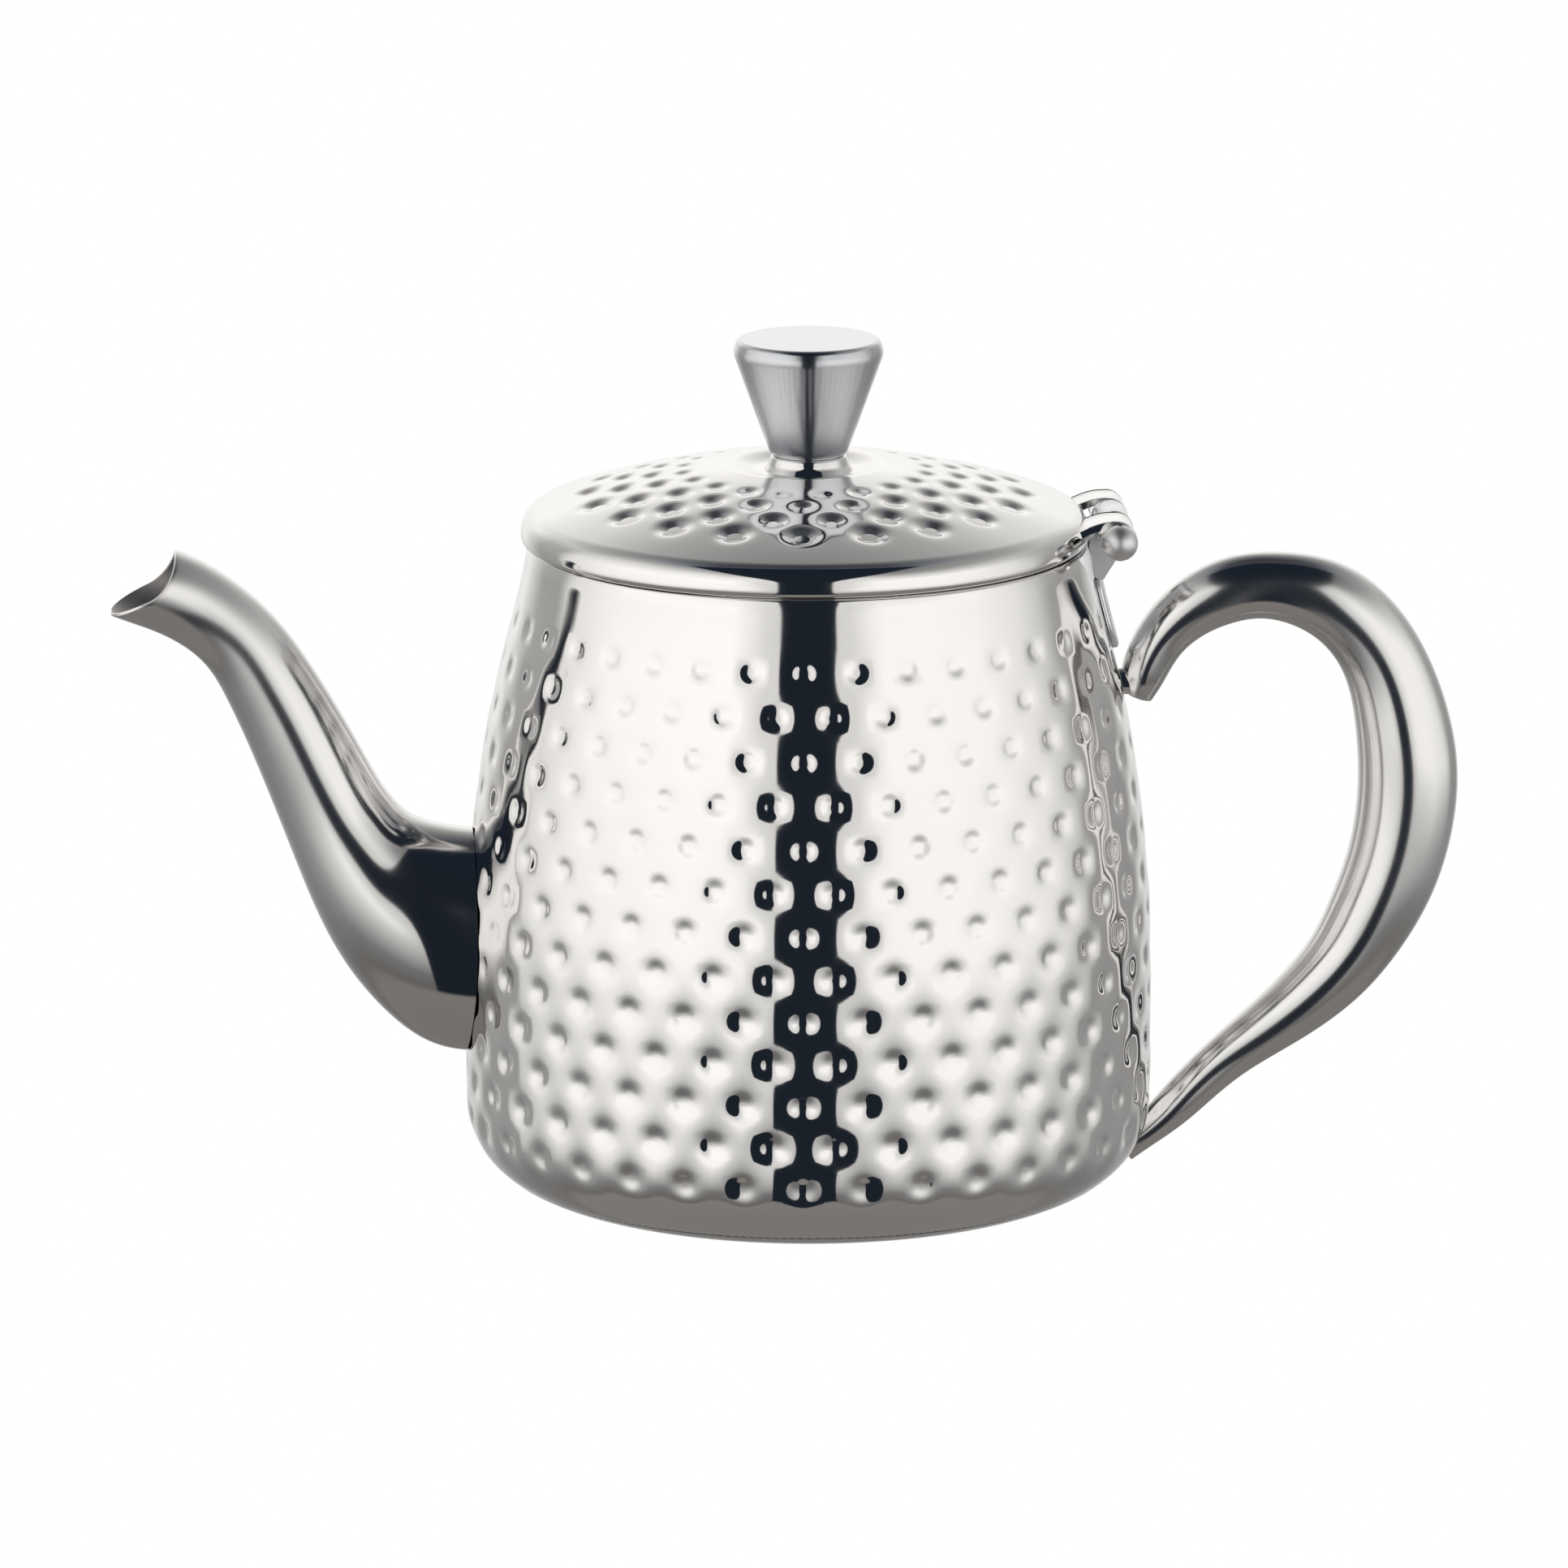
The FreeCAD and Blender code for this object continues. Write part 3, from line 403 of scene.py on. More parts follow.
def dent_patch(across, along, half_across, half_along, reach):
    """Vertices and faces, in flat coordinates, of a brick-shaped patch with fine rings round its middle.

    across and along place the middle, and the half sizes give the brick.
    """
    wide, high = BRICK
    side = np.linspace(-1, 1, wide + 1)[:-1]
    edge = np.linspace(-1, 1, high + 1)[:-1]
    border = np.concatenate([np.stack([side, -np.ones(wide)], 1), np.stack([np.ones(high), edge], 1),
                             np.stack([-side, np.ones(wide)], 1), np.stack([-np.ones(high), -edge], 1)])
    border = border * (half_across, half_along)
    direction = border / np.linalg.norm(border, axis=1)[:, None]
    rings = [direction * reach * share for share in DENT_RINGS]
    rings.append((rings[-1] + border) / 2)
    rings.append(border)
    points = np.concatenate([[(0.0, 0.0)]] + rings)
    count = len(border)
    faces = [(0, 1 + column, 1 + (column + 1) % count) for column in range(count)]
    for row in range(len(rings) - 1):
        base = 1 + row * count
        for column in range(count):
            beside = (column + 1) % count
            faces.append((base + column, base + count + column, base + count + beside, base + beside))
    return points + (across, along), faces


def weld(points, faces):
    """Join vertices that lie in one place.  Gives which vertices stay, and the faces on them."""
    kept, place = np.unique(np.round(points, 3), axis=0, return_inverse=True)
    place = place.ravel()
    first = np.zeros(len(kept), int)
    first[place] = np.arange(len(points))
    joined = []
    for face in faces:
        corners = [int(place[corner]) for corner in face]
        if len(set(corners)) == len(corners):
            joined.append(corners)
    return first, joined


BODY_PITCH = 2 * math.pi / BODY_DENTS
# Points of the wall's outline.  Its inside keeps one in INNER_SAMPLE_STEP of them.
BODY_SAMPLES = 900
INNER_SAMPLE_STEP = 30
# Rows of faces in the plain strips below and above the dents.
PLAIN_ROWS_BELOW = 16
PLAIN_ROWS_ABOVE = 24
# Step over which the slope of a dent is measured.
SLOPE_STEP = 0.02
# Points that round the wall's top edge, from its outside inwards.
EDGE_ROUNDING = ((-0.15, 0.18), (-0.45, 0.2), (-0.7, 0.08))


def row_turn(row):
    """Turn of a row of dents: every other row, counted from the top, is moved by half a pitch."""
    return DENT_TURN + (BODY_PITCH / 2 if (BODY_ROWS - 1 - row) % 2 else 0)


def make_body():
    """Dented wall, with normals worked out from the dents' shape, and a plain inside."""
    profile = body_line(BODY_SAMPLES)
    run = np.concatenate([[0], np.cumsum(np.linalg.norm(np.diff(profile, axis=0), axis=1))])
    normal = outward(profile)
    limits = np.interp(ROW_LOW + ROW_PITCH * (np.arange(BODY_ROWS + 1) - 0.5), profile[:, 1], run)
    middles = np.interp(ROW_LOW + ROW_PITCH * np.arange(BODY_ROWS), profile[:, 1], run)
    dents = [between(BOTTOM_DENT, TOP_DENT, row / (BODY_ROWS - 1)) for row in range(BODY_ROWS)]
    flat, faces = [], []
    start = 0

    def add(points, quads):
        """Add a patch of (angle, place up the outline) points."""
        nonlocal start
        flat.append(points)
        faces.extend([tuple(corner + start for corner in quad) for quad in quads])
        start += len(points)

    for row in range(BODY_ROWS):
        middle = (limits[row] + limits[row + 1]) / 2
        half = (limits[row + 1] - limits[row]) / 2
        radius = np.interp(middles[row], run, profile[:, 0])
        points, quads = dent_patch(0, 0, BODY_PITCH / 2 * radius, half, dents[row][0])
        points = points * (1 / radius, 1) + (0, middle)
        for column in range(BODY_DENTS):
            add(points + (row_turn(row) + column * BODY_PITCH, 0), quads)
    columns = BODY_DENTS * BRICK[0]
    angles = row_turn(0) + BODY_PITCH / 2 + np.arange(columns + 1) * BODY_PITCH / BRICK[0]
    for low, high, steps in ((0.0, limits[0], PLAIN_ROWS_BELOW), (limits[-1], run[-1], PLAIN_ROWS_ABOVE)):
        marks = np.linspace(low, high, steps + 1)
        grid = np.stack(np.meshgrid(angles, marks), -1).reshape(-1, 2)
        add(grid, grid_faces(steps + 1, columns + 1, wrap_columns=False).tolist())
    flat = np.concatenate(flat)

    def depth(angle, along):
        """Depth of all the dents together."""
        radius = np.interp(along, run, profile[:, 0])
        total = np.zeros(len(along))
        for row in range(BODY_ROWS):
            off = wrapped(angle - row_turn(row), BODY_PITCH) * radius
            total += hollow(np.hypot(off, along - middles[row]), dents[row])
        return total

    def read(table, angle, along):
        """Values of a table along the outline, turned to their angles."""
        return turned_points(np.stack([np.interp(along, run, table[:, 0]),
                                       np.interp(along, run, table[:, 1])], 1), angle)

    angle, along = flat[:, 0], flat[:, 1]
    radius = np.interp(along, run, profile[:, 0])
    straight = read(normal, angle, along)
    points = read(profile, angle, along) - straight * depth(angle, along)[:, None]
    step = SLOPE_STEP
    across = np.stack([np.cos(angle), np.sin(angle), np.zeros(len(angle))], 1)
    upward = np.cross(straight, across)
    tilt_across = (depth(angle + step / radius, along) - depth(angle - step / radius, along)) / (2 * step)
    tilt_up = (depth(angle, along + step) - depth(angle, along - step)) / (2 * step)
    facing = straight + across * tilt_across[:, None] + upward * tilt_up[:, None]
    inner = profile[::INNER_SAMPLE_STEP] - normal[::INNER_SAMPLE_STEP] * WALL
    edge = profile[-1]
    skin = np.concatenate([[edge], edge + np.array(EDGE_ROUNDING), inner[::-1], [profile[0]]])
    ring = np.arange(columns) * BODY_PITCH / BRICK[0] + angles[0]
    inside = ring_points(skin, ring).reshape(-1, 3)
    inside_faces = grid_faces(len(skin), columns, start=len(points)).tolist()
    kept, faces = weld(np.concatenate([points, inside]), faces + inside_faces)
    points = np.concatenate([points, inside])[kept]
    facing = np.concatenate([facing, ring_points(outward(skin), ring).reshape(-1, 3)])[kept]
    new_mesh("hammered_body", points, faces, POLISHED, "pot", ("body_shell",),
             normals=facing)


# Outlines of the base: its underside as (radius, height, corner radius), its inside as (radius, height).
BASE_UNDERSIDE = ((0.0, 1.4, 0), (39.4, 1.4, 3.0), (41.6, 0.0, 1.2), (FOOT_RADIUS, 0.0, 0))
BASE_INSIDE = ((51.9, 3.4), (44.0, 1.0), (40.0, 2.2), (0.0, 2.2))
# How far the base's edge is tucked in at the seam: across and down.
SEAM_TUCK = (0.12, 0.1)


def make_base():
    """Dished base with a rolled foot, up to the seam."""
    arc = [(FOOT_RADIUS + CORNER * math.sin(angle), CORNER - CORNER * math.cos(angle))
           for angle in np.linspace(0, SEAM_ANGLE, 14)]
    arc[-1] = (arc[-1][0] - SEAM_TUCK[0], arc[-1][1] - SEAM_TUCK[1])
    lower = rounded(BASE_UNDERSIDE)
    profile = np.concatenate([lower[:-1], np.array(arc), BASE_INSIDE])
    turned_mesh("base_dish", profile, POLISHED, "pot", ("base_pan",), 240)


# ---------------------------------------------------------------- lid and knob

def lid_line(count):
    """Outside of the lid from the curl's inner edge up to the screw hole."""
    curl = [(LID_EDGE - LID_CURL + LID_CURL * math.cos(angle), LID_HEIGHT + LID_CURL * math.sin(angle))
            for angle in np.linspace(-math.pi / 2, 0, 12)]
    wide, high = LID_SHOULDER
    share = 2 / LID_SHOULDER_POWER
    middle = LID_EDGE - wide
    shoulder = [(middle + wide * math.cos(angle) ** share, LID_HEIGHT + high * math.sin(angle) ** share)
                for angle in np.linspace(0, LID_SHOULDER_END, 40)[1:]]
    edge, height = shoulder[-1]
    slope = (height - shoulder[-2][1]) / (edge - shoulder[-2][0])
    matrix = np.array([[edge ** 2, edge ** 4], [2 * edge, 4 * edge ** 3]])
    second, fourth = np.linalg.solve(matrix, np.array([height - LID_TOP, slope]))
    inner, outer, drop = DISH
    dome = []
    for radius in np.linspace(edge, SCREW_HOLE, 120)[1:]:
        share = min(max((outer - radius) / (outer - inner), 0), 1)
        dip = drop * share * share * (3 - 2 * share)
        dome.append((radius, LID_TOP + second * radius ** 2 + fourth * radius ** 4 - dip))
    return even(curl + shoulder + dome, count)


LID_COLUMNS_PER_DENT = 36
LID_SAMPLES = 240
# The rings of dents are looked up on the dome, which is all that lies this far above LID_HEIGHT.
LID_DOME_RISE = 3


def make_lid():
    """Dented lid with a plain inside."""
    columns = LID_DENTS * LID_COLUMNS_PER_DENT
    profile = lid_line(LID_SAMPLES)
    angles = np.arange(columns) * 2 * math.pi / columns
    depth = np.zeros((len(profile), columns))
    run = np.concatenate([[0], np.cumsum(np.linalg.norm(np.diff(profile, axis=0), axis=1))])
    pitch = 2 * math.pi / LID_DENTS
    dome = profile[:, 1] > LID_HEIGHT + LID_DOME_RISE
    for radius, staggered, dent in LID_RINGS:
        middle = np.interp(-radius, -profile[dome, 0], run[dome])
        turn = DENT_TURN + (pitch / 2 if staggered else 0)
        across = wrapped(angles - turn, pitch)[None, :] * np.clip(profile[:, 0], 1, None)[:, None]
        depth += hollow(np.hypot(across, (run - middle)[:, None]), dent)
    outer = ring_points(profile, angles) - ring_points(outward(profile), angles) * depth[..., None]
    inner = ring_points(profile - outward(profile) * WALL, angles)
    rows = np.concatenate([outer, inner[::-1]]) + (LID_SHIFT, 0, 0)
    faces = grid_faces(len(rows), columns, wrap_rows=True)
    new_mesh("hammered_lid", rows.reshape(-1, 3), faces, POLISHED, "lid", ("lid_shell",))


def make_knob():
    """Cone with a flared collar under it."""
    turned_mesh("cone_knob", rounded(KNOB, 12), KNOB_STEEL, "lid", ("knob",))
    turned_mesh("knob_base", rounded(KNOB_COLLAR, 8), POLISHED, "lid", ("knob_collar",),
                closed=True)


# ---------------------------------------------------------------- spout and handle

def tube_point(stations, where, angle):
    """Point on the tube: where runs along the stations, angle goes round from the first line over +Y."""
    lines = spline([(*station[0], *station[1], station[2]) for station in stations], where)
    first, second, share = lines[..., 0:2], lines[..., 2:4], lines[..., 4]
    centre = (first + second) / 2
    arm = (first - second) / 2
    reach = np.linalg.norm(arm, axis=-1)
    flat = centre + arm * np.cos(angle)[..., None]
    return np.stack([flat[..., 0], reach * share * np.sin(angle), flat[..., 1]], -1)


def crossing(stations, test, angles, low, high, steps=400):
    """For each angle, where along the tube test() first changes sign, or else the tube's end."""
    marks = np.linspace(low, high, steps)
    grid_where, grid_angle = np.meshgrid(marks, angles, indexing="ij")
    values = test(tube_point(stations, grid_where, grid_angle))
    found = np.empty(len(angles))
    for column in range(len(angles)):
        line = values[:, column]
        change = np.nonzero(np.sign(line[1:]) != np.sign(line[:-1]))[0]
        if len(change) == 0:
            found[column] = high
            continue
        step = change[0]
        share = line[step] / (line[step] - line[step + 1])
        found[column] = marks[step] + share * (marks[1] - marks[0])
    return found


def outside_body(points):
    """Distance outside the pot's wall."""
    return np.hypot(points[..., 0], points[..., 1]) - body_radius(points[..., 2])


def before_mouth(points):
    """Above zero until the tube reaches the cut of the pouring mouth."""
    x, z = points[..., 0], points[..., 2]
    upright = x - MOUTH_TOP_X
    foot_x, foot_z = MOUTH_SLOPE_FOOT
    sloped = (x - foot_x) * math.sin(MOUTH_SLOPE) - (z - foot_z) * math.cos(MOUTH_SLOPE)
    fillet = np.hypot(np.maximum(upright + MOUTH_FILLET, 0), np.maximum(sloped + MOUTH_FILLET, 0))
    cut = np.minimum(np.maximum(upright, sloped), -MOUTH_FILLET) + fillet
    return np.minimum(cut, x - LIP_X)


def surface_normals(points):
    """Unit normals of a grid of points that is closed across."""
    down = np.gradient(points, axis=0)
    across = np.roll(points, -1, axis=1) - np.roll(points, 1, axis=1)
    normal = np.cross(across, down)
    return normal / np.linalg.norm(normal, axis=-1)[..., None]


SPOUT_SEGMENTS = 128
SPOUT_ROWS = 200
# Stretches of the stations in which the spout meets the wall and in which its mouth is cut.
SPOUT_ROOT = (0.0, 3.0)
SPOUT_MOUTH = (6.5, 11.0)
# The mouth's rim: how far it rounds outwards, and its shoulders' share of the rim and their swelling.
RIM_BULGE = 0.22
RIM_SHARE = 0.65
RIM_SWELL = (0.18, 0.10)


def make_spout():
    """Swan-neck tube from the wall to the mouth, with its wall's thickness and a rounded rim."""
    angles = np.arange(SPOUT_SEGMENTS) * 2 * math.pi / SPOUT_SEGMENTS
    start = crossing(SPOUT_STATIONS, outside_body, angles, *SPOUT_ROOT)
    end = crossing(SPOUT_STATIONS, before_mouth, angles, *SPOUT_MOUTH)
    share = np.linspace(0, 1, SPOUT_ROWS)[:, None]
    where = start + (end - start) * share
    outer = tube_point(SPOUT_STATIONS, where, np.broadcast_to(angles, where.shape))
    normal = surface_normals(outer)
    halfway = SPOUT_ROWS // 2
    if (normal[halfway] * (outer[halfway] - outer[halfway].mean(0))).sum() < 0:
        normal = -normal
    inner = outer - normal * TUBE_WALL
    rim_out = outer[-1] - outer[-2]
    rim_out /= np.linalg.norm(rim_out, axis=-1)[:, None]
    rim = (outer[-1] + inner[-1]) / 2 + rim_out * RIM_BULGE
    outer = outer[:-1]
    outer_shoulder = outer[-1] * (1 - RIM_SHARE) + rim * RIM_SHARE + normal[-1] * RIM_SWELL[0]
    inner_shoulder = inner[-1] * (1 - RIM_SHARE) + rim * RIM_SHARE - normal[-1] * RIM_SWELL[1]
    rows = np.concatenate([outer, [outer_shoulder, rim, inner_shoulder], inner[::-1]])
    faces = grid_faces(len(rows), len(angles), wrap_rows=True)[:, ::-1]
    spout = new_mesh("swan_spout", rows.reshape(-1, 3), faces, SPOUT_STEEL, "pot",
                     ("spout_front_half", "spout_rear_half"))
    # The faces inside the tube take the darker steel: painted shade in the hollow.
    spout.data.materials.append(SPOUT_INSIDE_SHADED_STEEL)
    inside = [len(outer) + 2 <= index // len(angles) < len(rows) - 1 for index in range(len(faces))]
    spout.data.polygons.foreach_set("material_index", np.array(inside, int))


HANDLE_SEGMENTS = 96
HANDLE_ROWS = 260
# Stretch of the stations in which the handle meets the wall.
HANDLE_FOOT = (14.0, 17.0)
# Rings of the closed upper end: share of the tube's size, and distance beyond the tube.
HANDLE_CAP = ((0.30, 0.55), (0.75, 0.5), (0.90, 0.35), (0.98, 0.12))
HANDLE_CAP_RISE = 0.55
HANDLE_FOOT_DEPTH = 1.5


def make_handle():
    """Loop tube, closed at its upper end and ending on the wall below."""
    angles = np.arange(HANDLE_SEGMENTS) * 2 * math.pi / HANDLE_SEGMENTS
    end = crossing(HANDLE_STATIONS, outside_body, angles, *HANDLE_FOOT)
    share = np.linspace(0, 1, HANDLE_ROWS)[:, None]
    where = end * share
    outer = tube_point(HANDLE_STATIONS, where, np.broadcast_to(angles, where.shape))
    along = outer[0] - outer[2]
    along = along.mean(0) / np.linalg.norm(along.mean(0))
    middle = outer[0].mean(0)
    cap = [middle + (outer[0] - middle) * scale + along * bulge for scale, bulge in HANDLE_CAP]
    tail = outer[-1].mean(0) - np.array([HANDLE_FOOT_DEPTH, 0, 0])
    points = np.concatenate([np.array(cap), outer]).reshape(-1, 3)
    rows = len(cap) + len(outer)
    faces = grid_faces(rows, len(angles)).tolist()
    tip, foot = len(points), len(points) + 1
    points = np.concatenate([points, [middle + along * HANDLE_CAP_RISE], [tail]])
    last = (rows - 1) * len(angles)
    for column in range(len(angles)):
        beside = (column + 1) % len(angles)
        faces.append([beside, column, tip])
        faces.append([last + column, last + beside, foot])
    faces = [face[::-1] for face in faces]
    new_mesh("loop_handle", points, faces, HANDLE_STEEL, "pot",
             ("handle_front_half", "handle_rear_half", "handle_upper_plug", "handle_lower_plug"))


# ---------------------------------------------------------------- hinge

PIN = (52.1, 114.3)
BARREL = 2.95
PIN_RADIUS = 1.25
PIN_SEGMENTS = 48
# Where the two straps and the web between them start and end in y.
STRAP_SPANS = ((-13.9, -5.2), (6.0, 13.9))
WEB_SPAN = (-5.0, 5.8)
STRAP_BEVEL = 0.12
WEB_BEVEL = 0.2
# Balls on the pin's front and rear end: y of the centre, and radius.
BALLS = ((-16.6, 3.05), (14.5, 2.2))
# Side view of the web under the middle knuckle, from the knuckle's left to its right: (x, z, corner radius).
WEB = ((47.9, 111.5, 0.5), (49.0, 106.0, 0.2), (50.0, 105.5, 0.4))
# Tongue on the wall: height and half width from its top to its tip.
TONGUE = ((106.7, 1.2), (106.45, 3.0), (105.9, 4.6), (104.9, 5.7), (103.2, 6.25), (100.0, 6.3), (97.4, 6.15),
          (95.6, 5.4), (94.2, 4.2), (93.2, 2.8), (92.75, 1.2))
TONGUE_THICKNESS = 1.5
# Depth to which its back is sunk in the wall.
TONGUE_SINK = 0.3
# Powers below 1 square off its section: across, and outwards.
TONGUE_POWERS = (0.5, 0.7)
# It thins towards its ends: share of the thickness at no width, and the half width that adds a full share.
TONGUE_TAPER = (0.35, 6)


def bevelled(line, span, cut=0.35, steps=3):
    """Closed outline (x, z), swept from one y to the other with rounded edges."""
    line = np.asarray(line, float)
    along = np.roll(line, -1, axis=0) - np.roll(line, 1, axis=0)
    inward = np.stack([-along[:, 1], along[:, 0]], 1) / np.linalg.norm(along, axis=1)[:, None]
    rows = [(cut - cut * math.cos(turn), span[0] + cut - cut * math.sin(turn))
            for turn in np.linspace(math.pi / 2, 0, steps + 1)]
    rows += [(shrink, span[0] + span[1] - y) for shrink, y in reversed(rows)]
    points = []
    for shrink, y in rows:
        flat = line + inward * shrink
        points.append(np.stack([flat[:, 0], np.full(len(flat), y), flat[:, 1]], 1))
    count = len(line)
    faces = grid_faces(len(rows), count).tolist()
    faces.append(list(range(count))[::-1])
    faces.append([(len(rows) - 1) * count + column for column in range(count)])
    return np.concatenate(points), faces


def strap_line():
    """Side view of a strap that leaves the lid and wraps round the pin."""
    x, z = PIN
    top = [(44.0, 114.75), (45.4, 115.5), (47.0, 116.25), (48.8, 116.9), (50.5, 117.2)]
    wrap = [(x + BARREL * math.cos(angle), z + BARREL * math.sin(angle))
            for angle in np.radians(np.arange(98, -224, -8))]
    under = [(48.9, 116.0), (47.2, 115.35), (45.6, 114.6), (44.3, 113.95)]
    return smooth_line(top + wrap[:1], 24)[:-1].tolist() + wrap + under


def join(pieces):
    """One set of points and faces from several."""
    points, faces = [], []
    start = 0
    for corners, quads in pieces:
        points.append(np.asarray(corners))
        faces += [[corner + start for corner in quad] for quad in quads]
        start += len(corners)
    return np.concatenate(points), faces


def make_straps():
    """The two straps of the lid's hinge leaf."""
    points, faces = join([bevelled(strap_line(), span, STRAP_BEVEL) for span in STRAP_SPANS])
    new_mesh("hinge_straps", points, faces, POLISHED, "lid", ("hinge_leaf",), sharp=50)


def web_piece():
    """Middle knuckle with the web that narrows down to the tongue."""
    x, z = PIN
    knuckle = [(x + BARREL * math.cos(angle), z + BARREL * math.sin(angle), 0)
               for angle in np.radians(np.linspace(190, -40, 30))]
    line = rounded(knuckle + list(WEB[::-1]) + knuckle[:1])[:-1]
    return bevelled(line, WEB_SPAN, WEB_BEVEL)


def tongue_piece():
    """Plate that hugs the wall, with rounded edges."""
    rows = smooth_line(TONGUE, 50)
    turn = np.linspace(0, 2 * math.pi, 48, endpoint=False)
    across = np.sign(np.cos(turn)) * np.abs(np.cos(turn)) ** TONGUE_POWERS[0]
    proud = np.sign(np.sin(turn)) * np.abs(np.sin(turn)) ** TONGUE_POWERS[1]
    grid = []
    for height, half in rows:
        wall = body_radius(height)
        thick = TONGUE_THICKNESS * min(1.0, TONGUE_TAPER[0] + half / TONGUE_TAPER[1])
        reach = wall + thick * (proud + 1) / 2 - TONGUE_SINK
        angle = half * across / wall
        grid.append(np.stack([reach * np.cos(angle), reach * np.sin(angle), np.full(len(turn), height)], 1))
    faces = grid_faces(len(rows), len(turn)).tolist()
    faces.append(list(range(len(turn)))[::-1])
    faces.append([(len(rows) - 1) * len(turn) + column for column in range(len(turn))])
    return np.concatenate(grid), [face[::-1] for face in faces]


def make_bracket():
    """The pot's half of the hinge."""
    points, faces = join([web_piece(), tongue_piece()])
    new_mesh("hinge_bracket_web", points, faces, BRACKET_STEEL, "pot", ("hinge_bracket",),
             sharp=50)


def make_pin():
    """Pin with a ball at each end."""
    x, z = PIN
    angles = np.linspace(0, math.pi, 25)
    around = np.arange(PIN_SEGMENTS) * 2 * math.pi / PIN_SEGMENTS
    ball = ring_points(np.stack([np.sin(angles), -np.cos(angles)], 1), around)
    pieces = []
    for offset, radius in BALLS:
        placed = ball * radius + (x, offset, z)
        pieces.append((placed.reshape(-1, 3), grid_faces(len(angles), len(around)).tolist()))
    rod = [(x + PIN_RADIUS * math.cos(angle), z + PIN_RADIUS * math.sin(angle)) for angle in -around]
    pieces.append(bevelled(rod, (BALLS[0][0], BALLS[1][0])))
    points, faces = join(pieces)
    kept, faces = weld(points, faces)
    new_mesh("ball_ended_pin", points[kept], faces, PIN_STEEL, "lid",
             ("hinge_pin", "hinge_pin_ball"))


# ---------------------------------------------------------------- studio

ROOM = 8.0
FLOOR_DROP = 0.0002


def make_backdrop():
    """White room that the camera sees.  The metal doesn't reflect it: it reflects the light tent."""
    mesh = bpy.data.meshes.new("backdrop")
    square = ((-ROOM, -ROOM), (ROOM, -ROOM), (ROOM, ROOM), (-ROOM, ROOM))
    corners = [(x, y, z) for z in (0, ROOM) for x, y in square]
    walls = [(0, 1, 2, 3), (7, 6, 5, 4), (0, 4, 5, 1), (1, 5, 6, 2), (2, 6, 7, 3), (3, 7, 4, 0)]
    mesh.from_pydata(corners, [], walls)
    material = bpy.data.materials.new("white_paper")
    material.use_nodes = True
    nodes, links = material.node_tree.nodes, material.node_tree.links
    nodes.remove(nodes["Principled BSDF"])
    paper = nodes.new("ShaderNodeEmission")
    paper.inputs["Color"].default_value = (1, 1, 1, 1)
    paper.inputs["Strength"].default_value = 1.0
    links.new(paper.outputs["Emission"], nodes["Material Output"].inputs["Surface"])
    mesh.materials.append(material)
    backdrop = bpy.data.objects.new("backdrop", mesh)
    backdrop.location = (0, 0, -FLOOR_DROP)
    backdrop.visible_glossy = False
    backdrop.visible_diffuse = False
    backdrop.visible_shadow = False
    bpy.context.scene.collection.objects.link(backdrop)


# The light tent is a function of the unit direction (x, y, z).  Its dark gap in front has a half width in x,
# a soft edge, a flare between two heights in z, a foot between two angles in degrees, and a colour.
GAP = 0.187
GAP_EDGE = 0.006
GAP_FLARE = 0.28
GAP_FLARE_HEIGHTS = (0.3, 0.9)
GAP_FOOT = (-46, -44)
GAP_AHEAD = 0.05
GAP_COLOUR = (0.012, 0.017, 0.026)
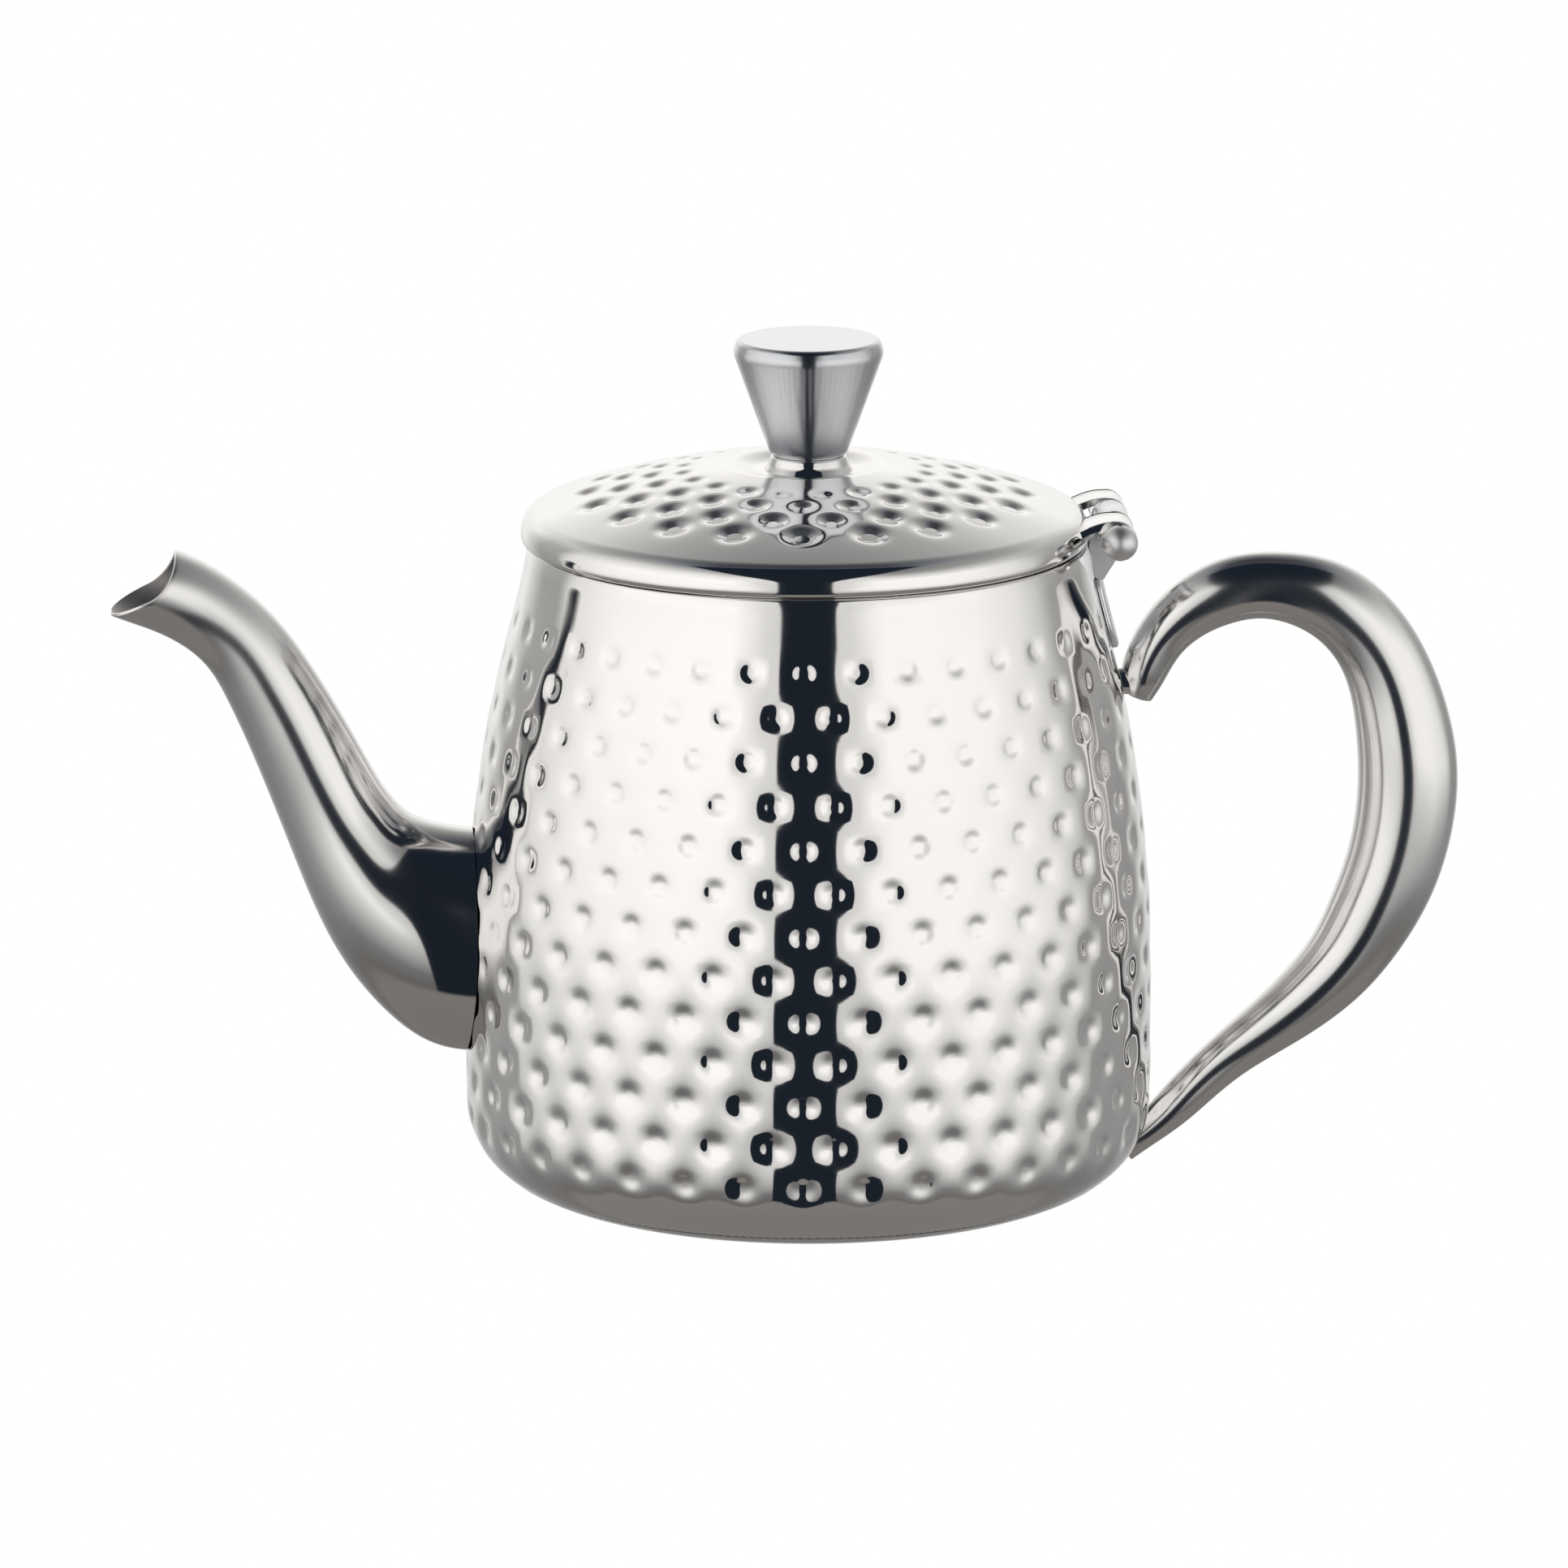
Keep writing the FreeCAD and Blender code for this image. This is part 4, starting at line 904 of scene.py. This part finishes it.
# Light tent, as brightness by direction.  Each band is a height in degrees with its greys at angles round
# from the front, left being negative.
TENT = (
    (-90, ((-180, 0.20), (180, 0.20))),
    (-48, ((-180, 0.21), (-60, 0.22), (60, 0.22), (180, 0.21))),
    (-44, ((-180, 0.19), (-90, 0.15), (-20, 0.14), (20, 0.15), (90, 0.17), (180, 0.19))),
    (-34, ((-180, 0.24), (-120, 0.21), (-90, 0.24), (-20, 0.19), (20, 0.20), (90, 0.26), (125, 0.21),
           (180, 0.24))),
    (-24, ((-180, 0.46), (-140, 0.31), (-118, 0.30), (-60, 0.50), (-14, 0.42), (14, 0.42), (60, 0.53),
           (112, 0.32), (140, 0.28), (180, 0.46))),
    (-16, ((-180, 0.72), (-150, 0.58), (-135, 0.34), (-118, 0.34), (-112, 0.62), (-60, 0.88), (-14, 0.60),
           (14, 0.60), (60, 0.88), (104, 0.50), (112, 0.32), (140, 0.30), (156, 0.60), (180, 0.72))),
    (-8, ((-180, 0.95), (-155, 0.90), (-135, 0.37), (-119, 0.36), (-112, 0.82), (-90, 1.0), (-45, 1.10),
          (-22, 1.05), (-13, 0.72), (13, 0.74), (24, 1.05), (50, 1.08), (90, 0.92), (104, 0.68), (113, 0.34),
          (142, 0.32), (158, 0.80), (180, 0.95))),
    (16, ((-180, 1.10), (-150, 1.0), (-132, 0.50), (-117, 0.42), (-108, 0.84), (-80, 1.12), (-30, 1.15),
          (-17, 0.78), (17, 0.76), (30, 1.1), (70, 1.08), (94, 0.84), (108, 0.54), (122, 0.40), (144, 0.56),
          (158, 0.95), (180, 1.10))),
    (32, ((-180, 0.78), (-150, 0.70), (-120, 0.58), (-90, 0.88), (-50, 0.98), (-25, 0.88), (25, 0.78),
          (45, 0.64), (90, 0.60), (120, 0.50), (150, 0.64), (180, 0.78))),
    (42, ((-180, 0.42), (-150, 0.42), (-120, 0.45), (-90, 0.74), (-50, 0.72), (-25, 0.52), (25, 0.44),
          (45, 0.32), (90, 0.38), (120, 0.40), (150, 0.42), (180, 0.42))),
    (58, ((-180, 0.16), (-150, 0.18), (-110, 0.32), (-70, 0.34), (-35, 0.20), (35, 0.16), (60, 0.20),
          (100, 0.28), (130, 0.24), (160, 0.18), (180, 0.16))),
    (72, ((-180, 0.05), (-110, 0.07), (-70, 0.08), (-30, 0.04), (30, 0.04), (90, 0.08), (140, 0.06),
          (180, 0.05))),
)
# Tints of the tent from top to bottom, and the heights between which one turns into the next.
SHADE = (0.92, 0.99, 1.12)
SHADE_HEIGHTS = (0.75, 0.95)
PLAIN = (1.0, 0.99, 0.975)
WARM_HEIGHTS = (-0.75, -0.60)
WARM = (1.06, 1.0, 0.95)


def make_world():
    """Light tent round the pot: white walls with a dark gap for the camera, and a dark top."""
    world = bpy.data.worlds.new("studio")
    bpy.context.scene.world = world
    world.use_nodes = True
    nodes, links = world.node_tree.nodes, world.node_tree.links
    place = nodes.new("ShaderNodeTexCoord")
    turn = nodes.new("ShaderNodeVectorRotate")
    turn.rotation_type = "Z_AXIS"
    turn.inputs["Angle"].default_value = -AZIMUTH
    links.new(place.outputs["Generated"], turn.inputs["Vector"])
    split = nodes.new("ShaderNodeSeparateXYZ")
    links.new(turn.outputs["Vector"], split.inputs["Vector"])

    def maths(operation, first, second=0.0):
        """Result of an operation on two numbers or sockets."""
        node = nodes.new("ShaderNodeMath")
        node.operation = operation
        for slot, source in zip(node.inputs, (first, second)):
            if isinstance(source, (int, float)):
                slot.default_value = source
            else:
                links.new(source, slot)
        return node.outputs[0]

    def ranged(source, low, high, first=0.0, last=1.0, kind="SMOOTHSTEP"):
        """first where the source is below low, last where it is above high, and in between a soft step."""
        node = nodes.new("ShaderNodeMapRange")
        node.interpolation_type = kind
        for slot, amount in (("From Min", low), ("From Max", high), ("To Min", first), ("To Max", last)):
            node.inputs[slot].default_value = amount
        links.new(source, node.inputs["Value"])
        return node.outputs["Result"]

    def mixed(share, first, last):
        """Colour part of the way from the first to the last."""
        node = nodes.new("ShaderNodeMix")
        node.data_type = "RGBA"
        links.new(share, node.inputs["Factor"])
        for slot, source in (("A", first), ("B", last)):
            if isinstance(source, tuple):
                node.inputs[slot].default_value = (*source, 1)
            else:
                links.new(source, node.inputs[slot])
        return node.outputs["Result"]

    towards = maths("MULTIPLY", split.outputs["Y"], -1.0)
    share = maths("ADD", maths("DIVIDE", maths("ARCTAN2", split.outputs["X"], towards), 2 * math.pi), 0.5)
    height = split.outputs["Z"]
    colour = None
    lower = None
    for level, greys in TENT:
        ramp = nodes.new("ShaderNodeValToRGB")
        links.new(share, ramp.inputs["Fac"])
        fill_ramp(ramp, [(angle / 360 + 0.5, grey) for angle, grey in greys])
        level = math.sin(math.radians(level))
        if colour is None:
            colour = ramp.outputs["Color"]
        else:
            colour = mixed(ranged(height, lower, level, kind="LINEAR"), colour, ramp.outputs["Color"])
        lower = level
    across = maths("ABSOLUTE", split.outputs["X"])
    widened = maths("SUBTRACT", across, ranged(height, *GAP_FLARE_HEIGHTS, 0.0, GAP_FLARE))
    inside = ranged(widened, GAP - GAP_EDGE, GAP + GAP_EDGE, 1.0, 0.0)
    fades = ranged(height, *[math.sin(math.radians(level)) for level in GAP_FOOT])
    ahead = ranged(towards, 0.0, GAP_AHEAD)
    gap = maths("MULTIPLY", maths("MULTIPLY", inside, fades), ahead)
    colour = mixed(gap, colour, GAP_COLOUR)
    under = ranged(height, *WARM_HEIGHTS, 1.0, 0.0)
    tint = mixed(under, PLAIN, WARM)
    tint = mixed(ranged(height, *SHADE_HEIGHTS), tint, SHADE)
    product = nodes.new("ShaderNodeMix")
    product.data_type = "RGBA"
    product.blend_type = "MULTIPLY"
    product.inputs["Factor"].default_value = 1.0
    links.new(colour, product.inputs["A"])
    links.new(tint, product.inputs["B"])
    links.new(product.outputs["Result"], nodes["Background"].inputs["Color"])


def fill_ramp(node, stops):
    """Colour ramp with these (place, grey) stops."""
    elements = node.color_ramp.elements
    while len(elements) < len(stops):
        elements.new(1.0)
    for element, (place, grey) in zip(elements, stops):
        element.position = place
        element.color = (grey, grey, grey, 1)


# The camera stands DISTANCE metres from its target, on the pot's axis but for AXIS_RIGHT_MM.
ELEVATION = math.radians(13.2)
DISTANCE = 2.0
LENS = 267.2
AXIS_RIGHT_MM = 4.184
CENTRE_HEIGHT = 0.06906


def make_camera():
    """Camera at the photographed angle."""
    back = Vector((math.sin(AZIMUTH) * math.cos(ELEVATION), -math.cos(AZIMUTH) * math.cos(ELEVATION),
                   math.sin(ELEVATION)))
    right = Vector((math.cos(AZIMUTH), math.sin(AZIMUTH), 0))
    target = Vector((0, 0, CENTRE_HEIGHT)) - right * AXIS_RIGHT_MM * MM
    data = bpy.data.cameras.new("camera")
    data.sensor_width = 36.0
    data.lens = LENS
    data.clip_end = 30.0
    camera = bpy.data.objects.new("camera", data)
    camera.location = target + back * DISTANCE
    camera.rotation_euler = back.to_track_quat("Z", "Y").to_euler()
    bpy.context.scene.collection.objects.link(camera)
    bpy.context.scene.camera = camera


make_camera()
dress_cad_nodes()
make_body()
make_base()
make_lid()
make_knob()
make_straps()
make_bracket()
make_pin()
make_spout()
make_handle()
make_backdrop()
make_world()
bpy.context.scene.view_settings.view_transform = "Standard"
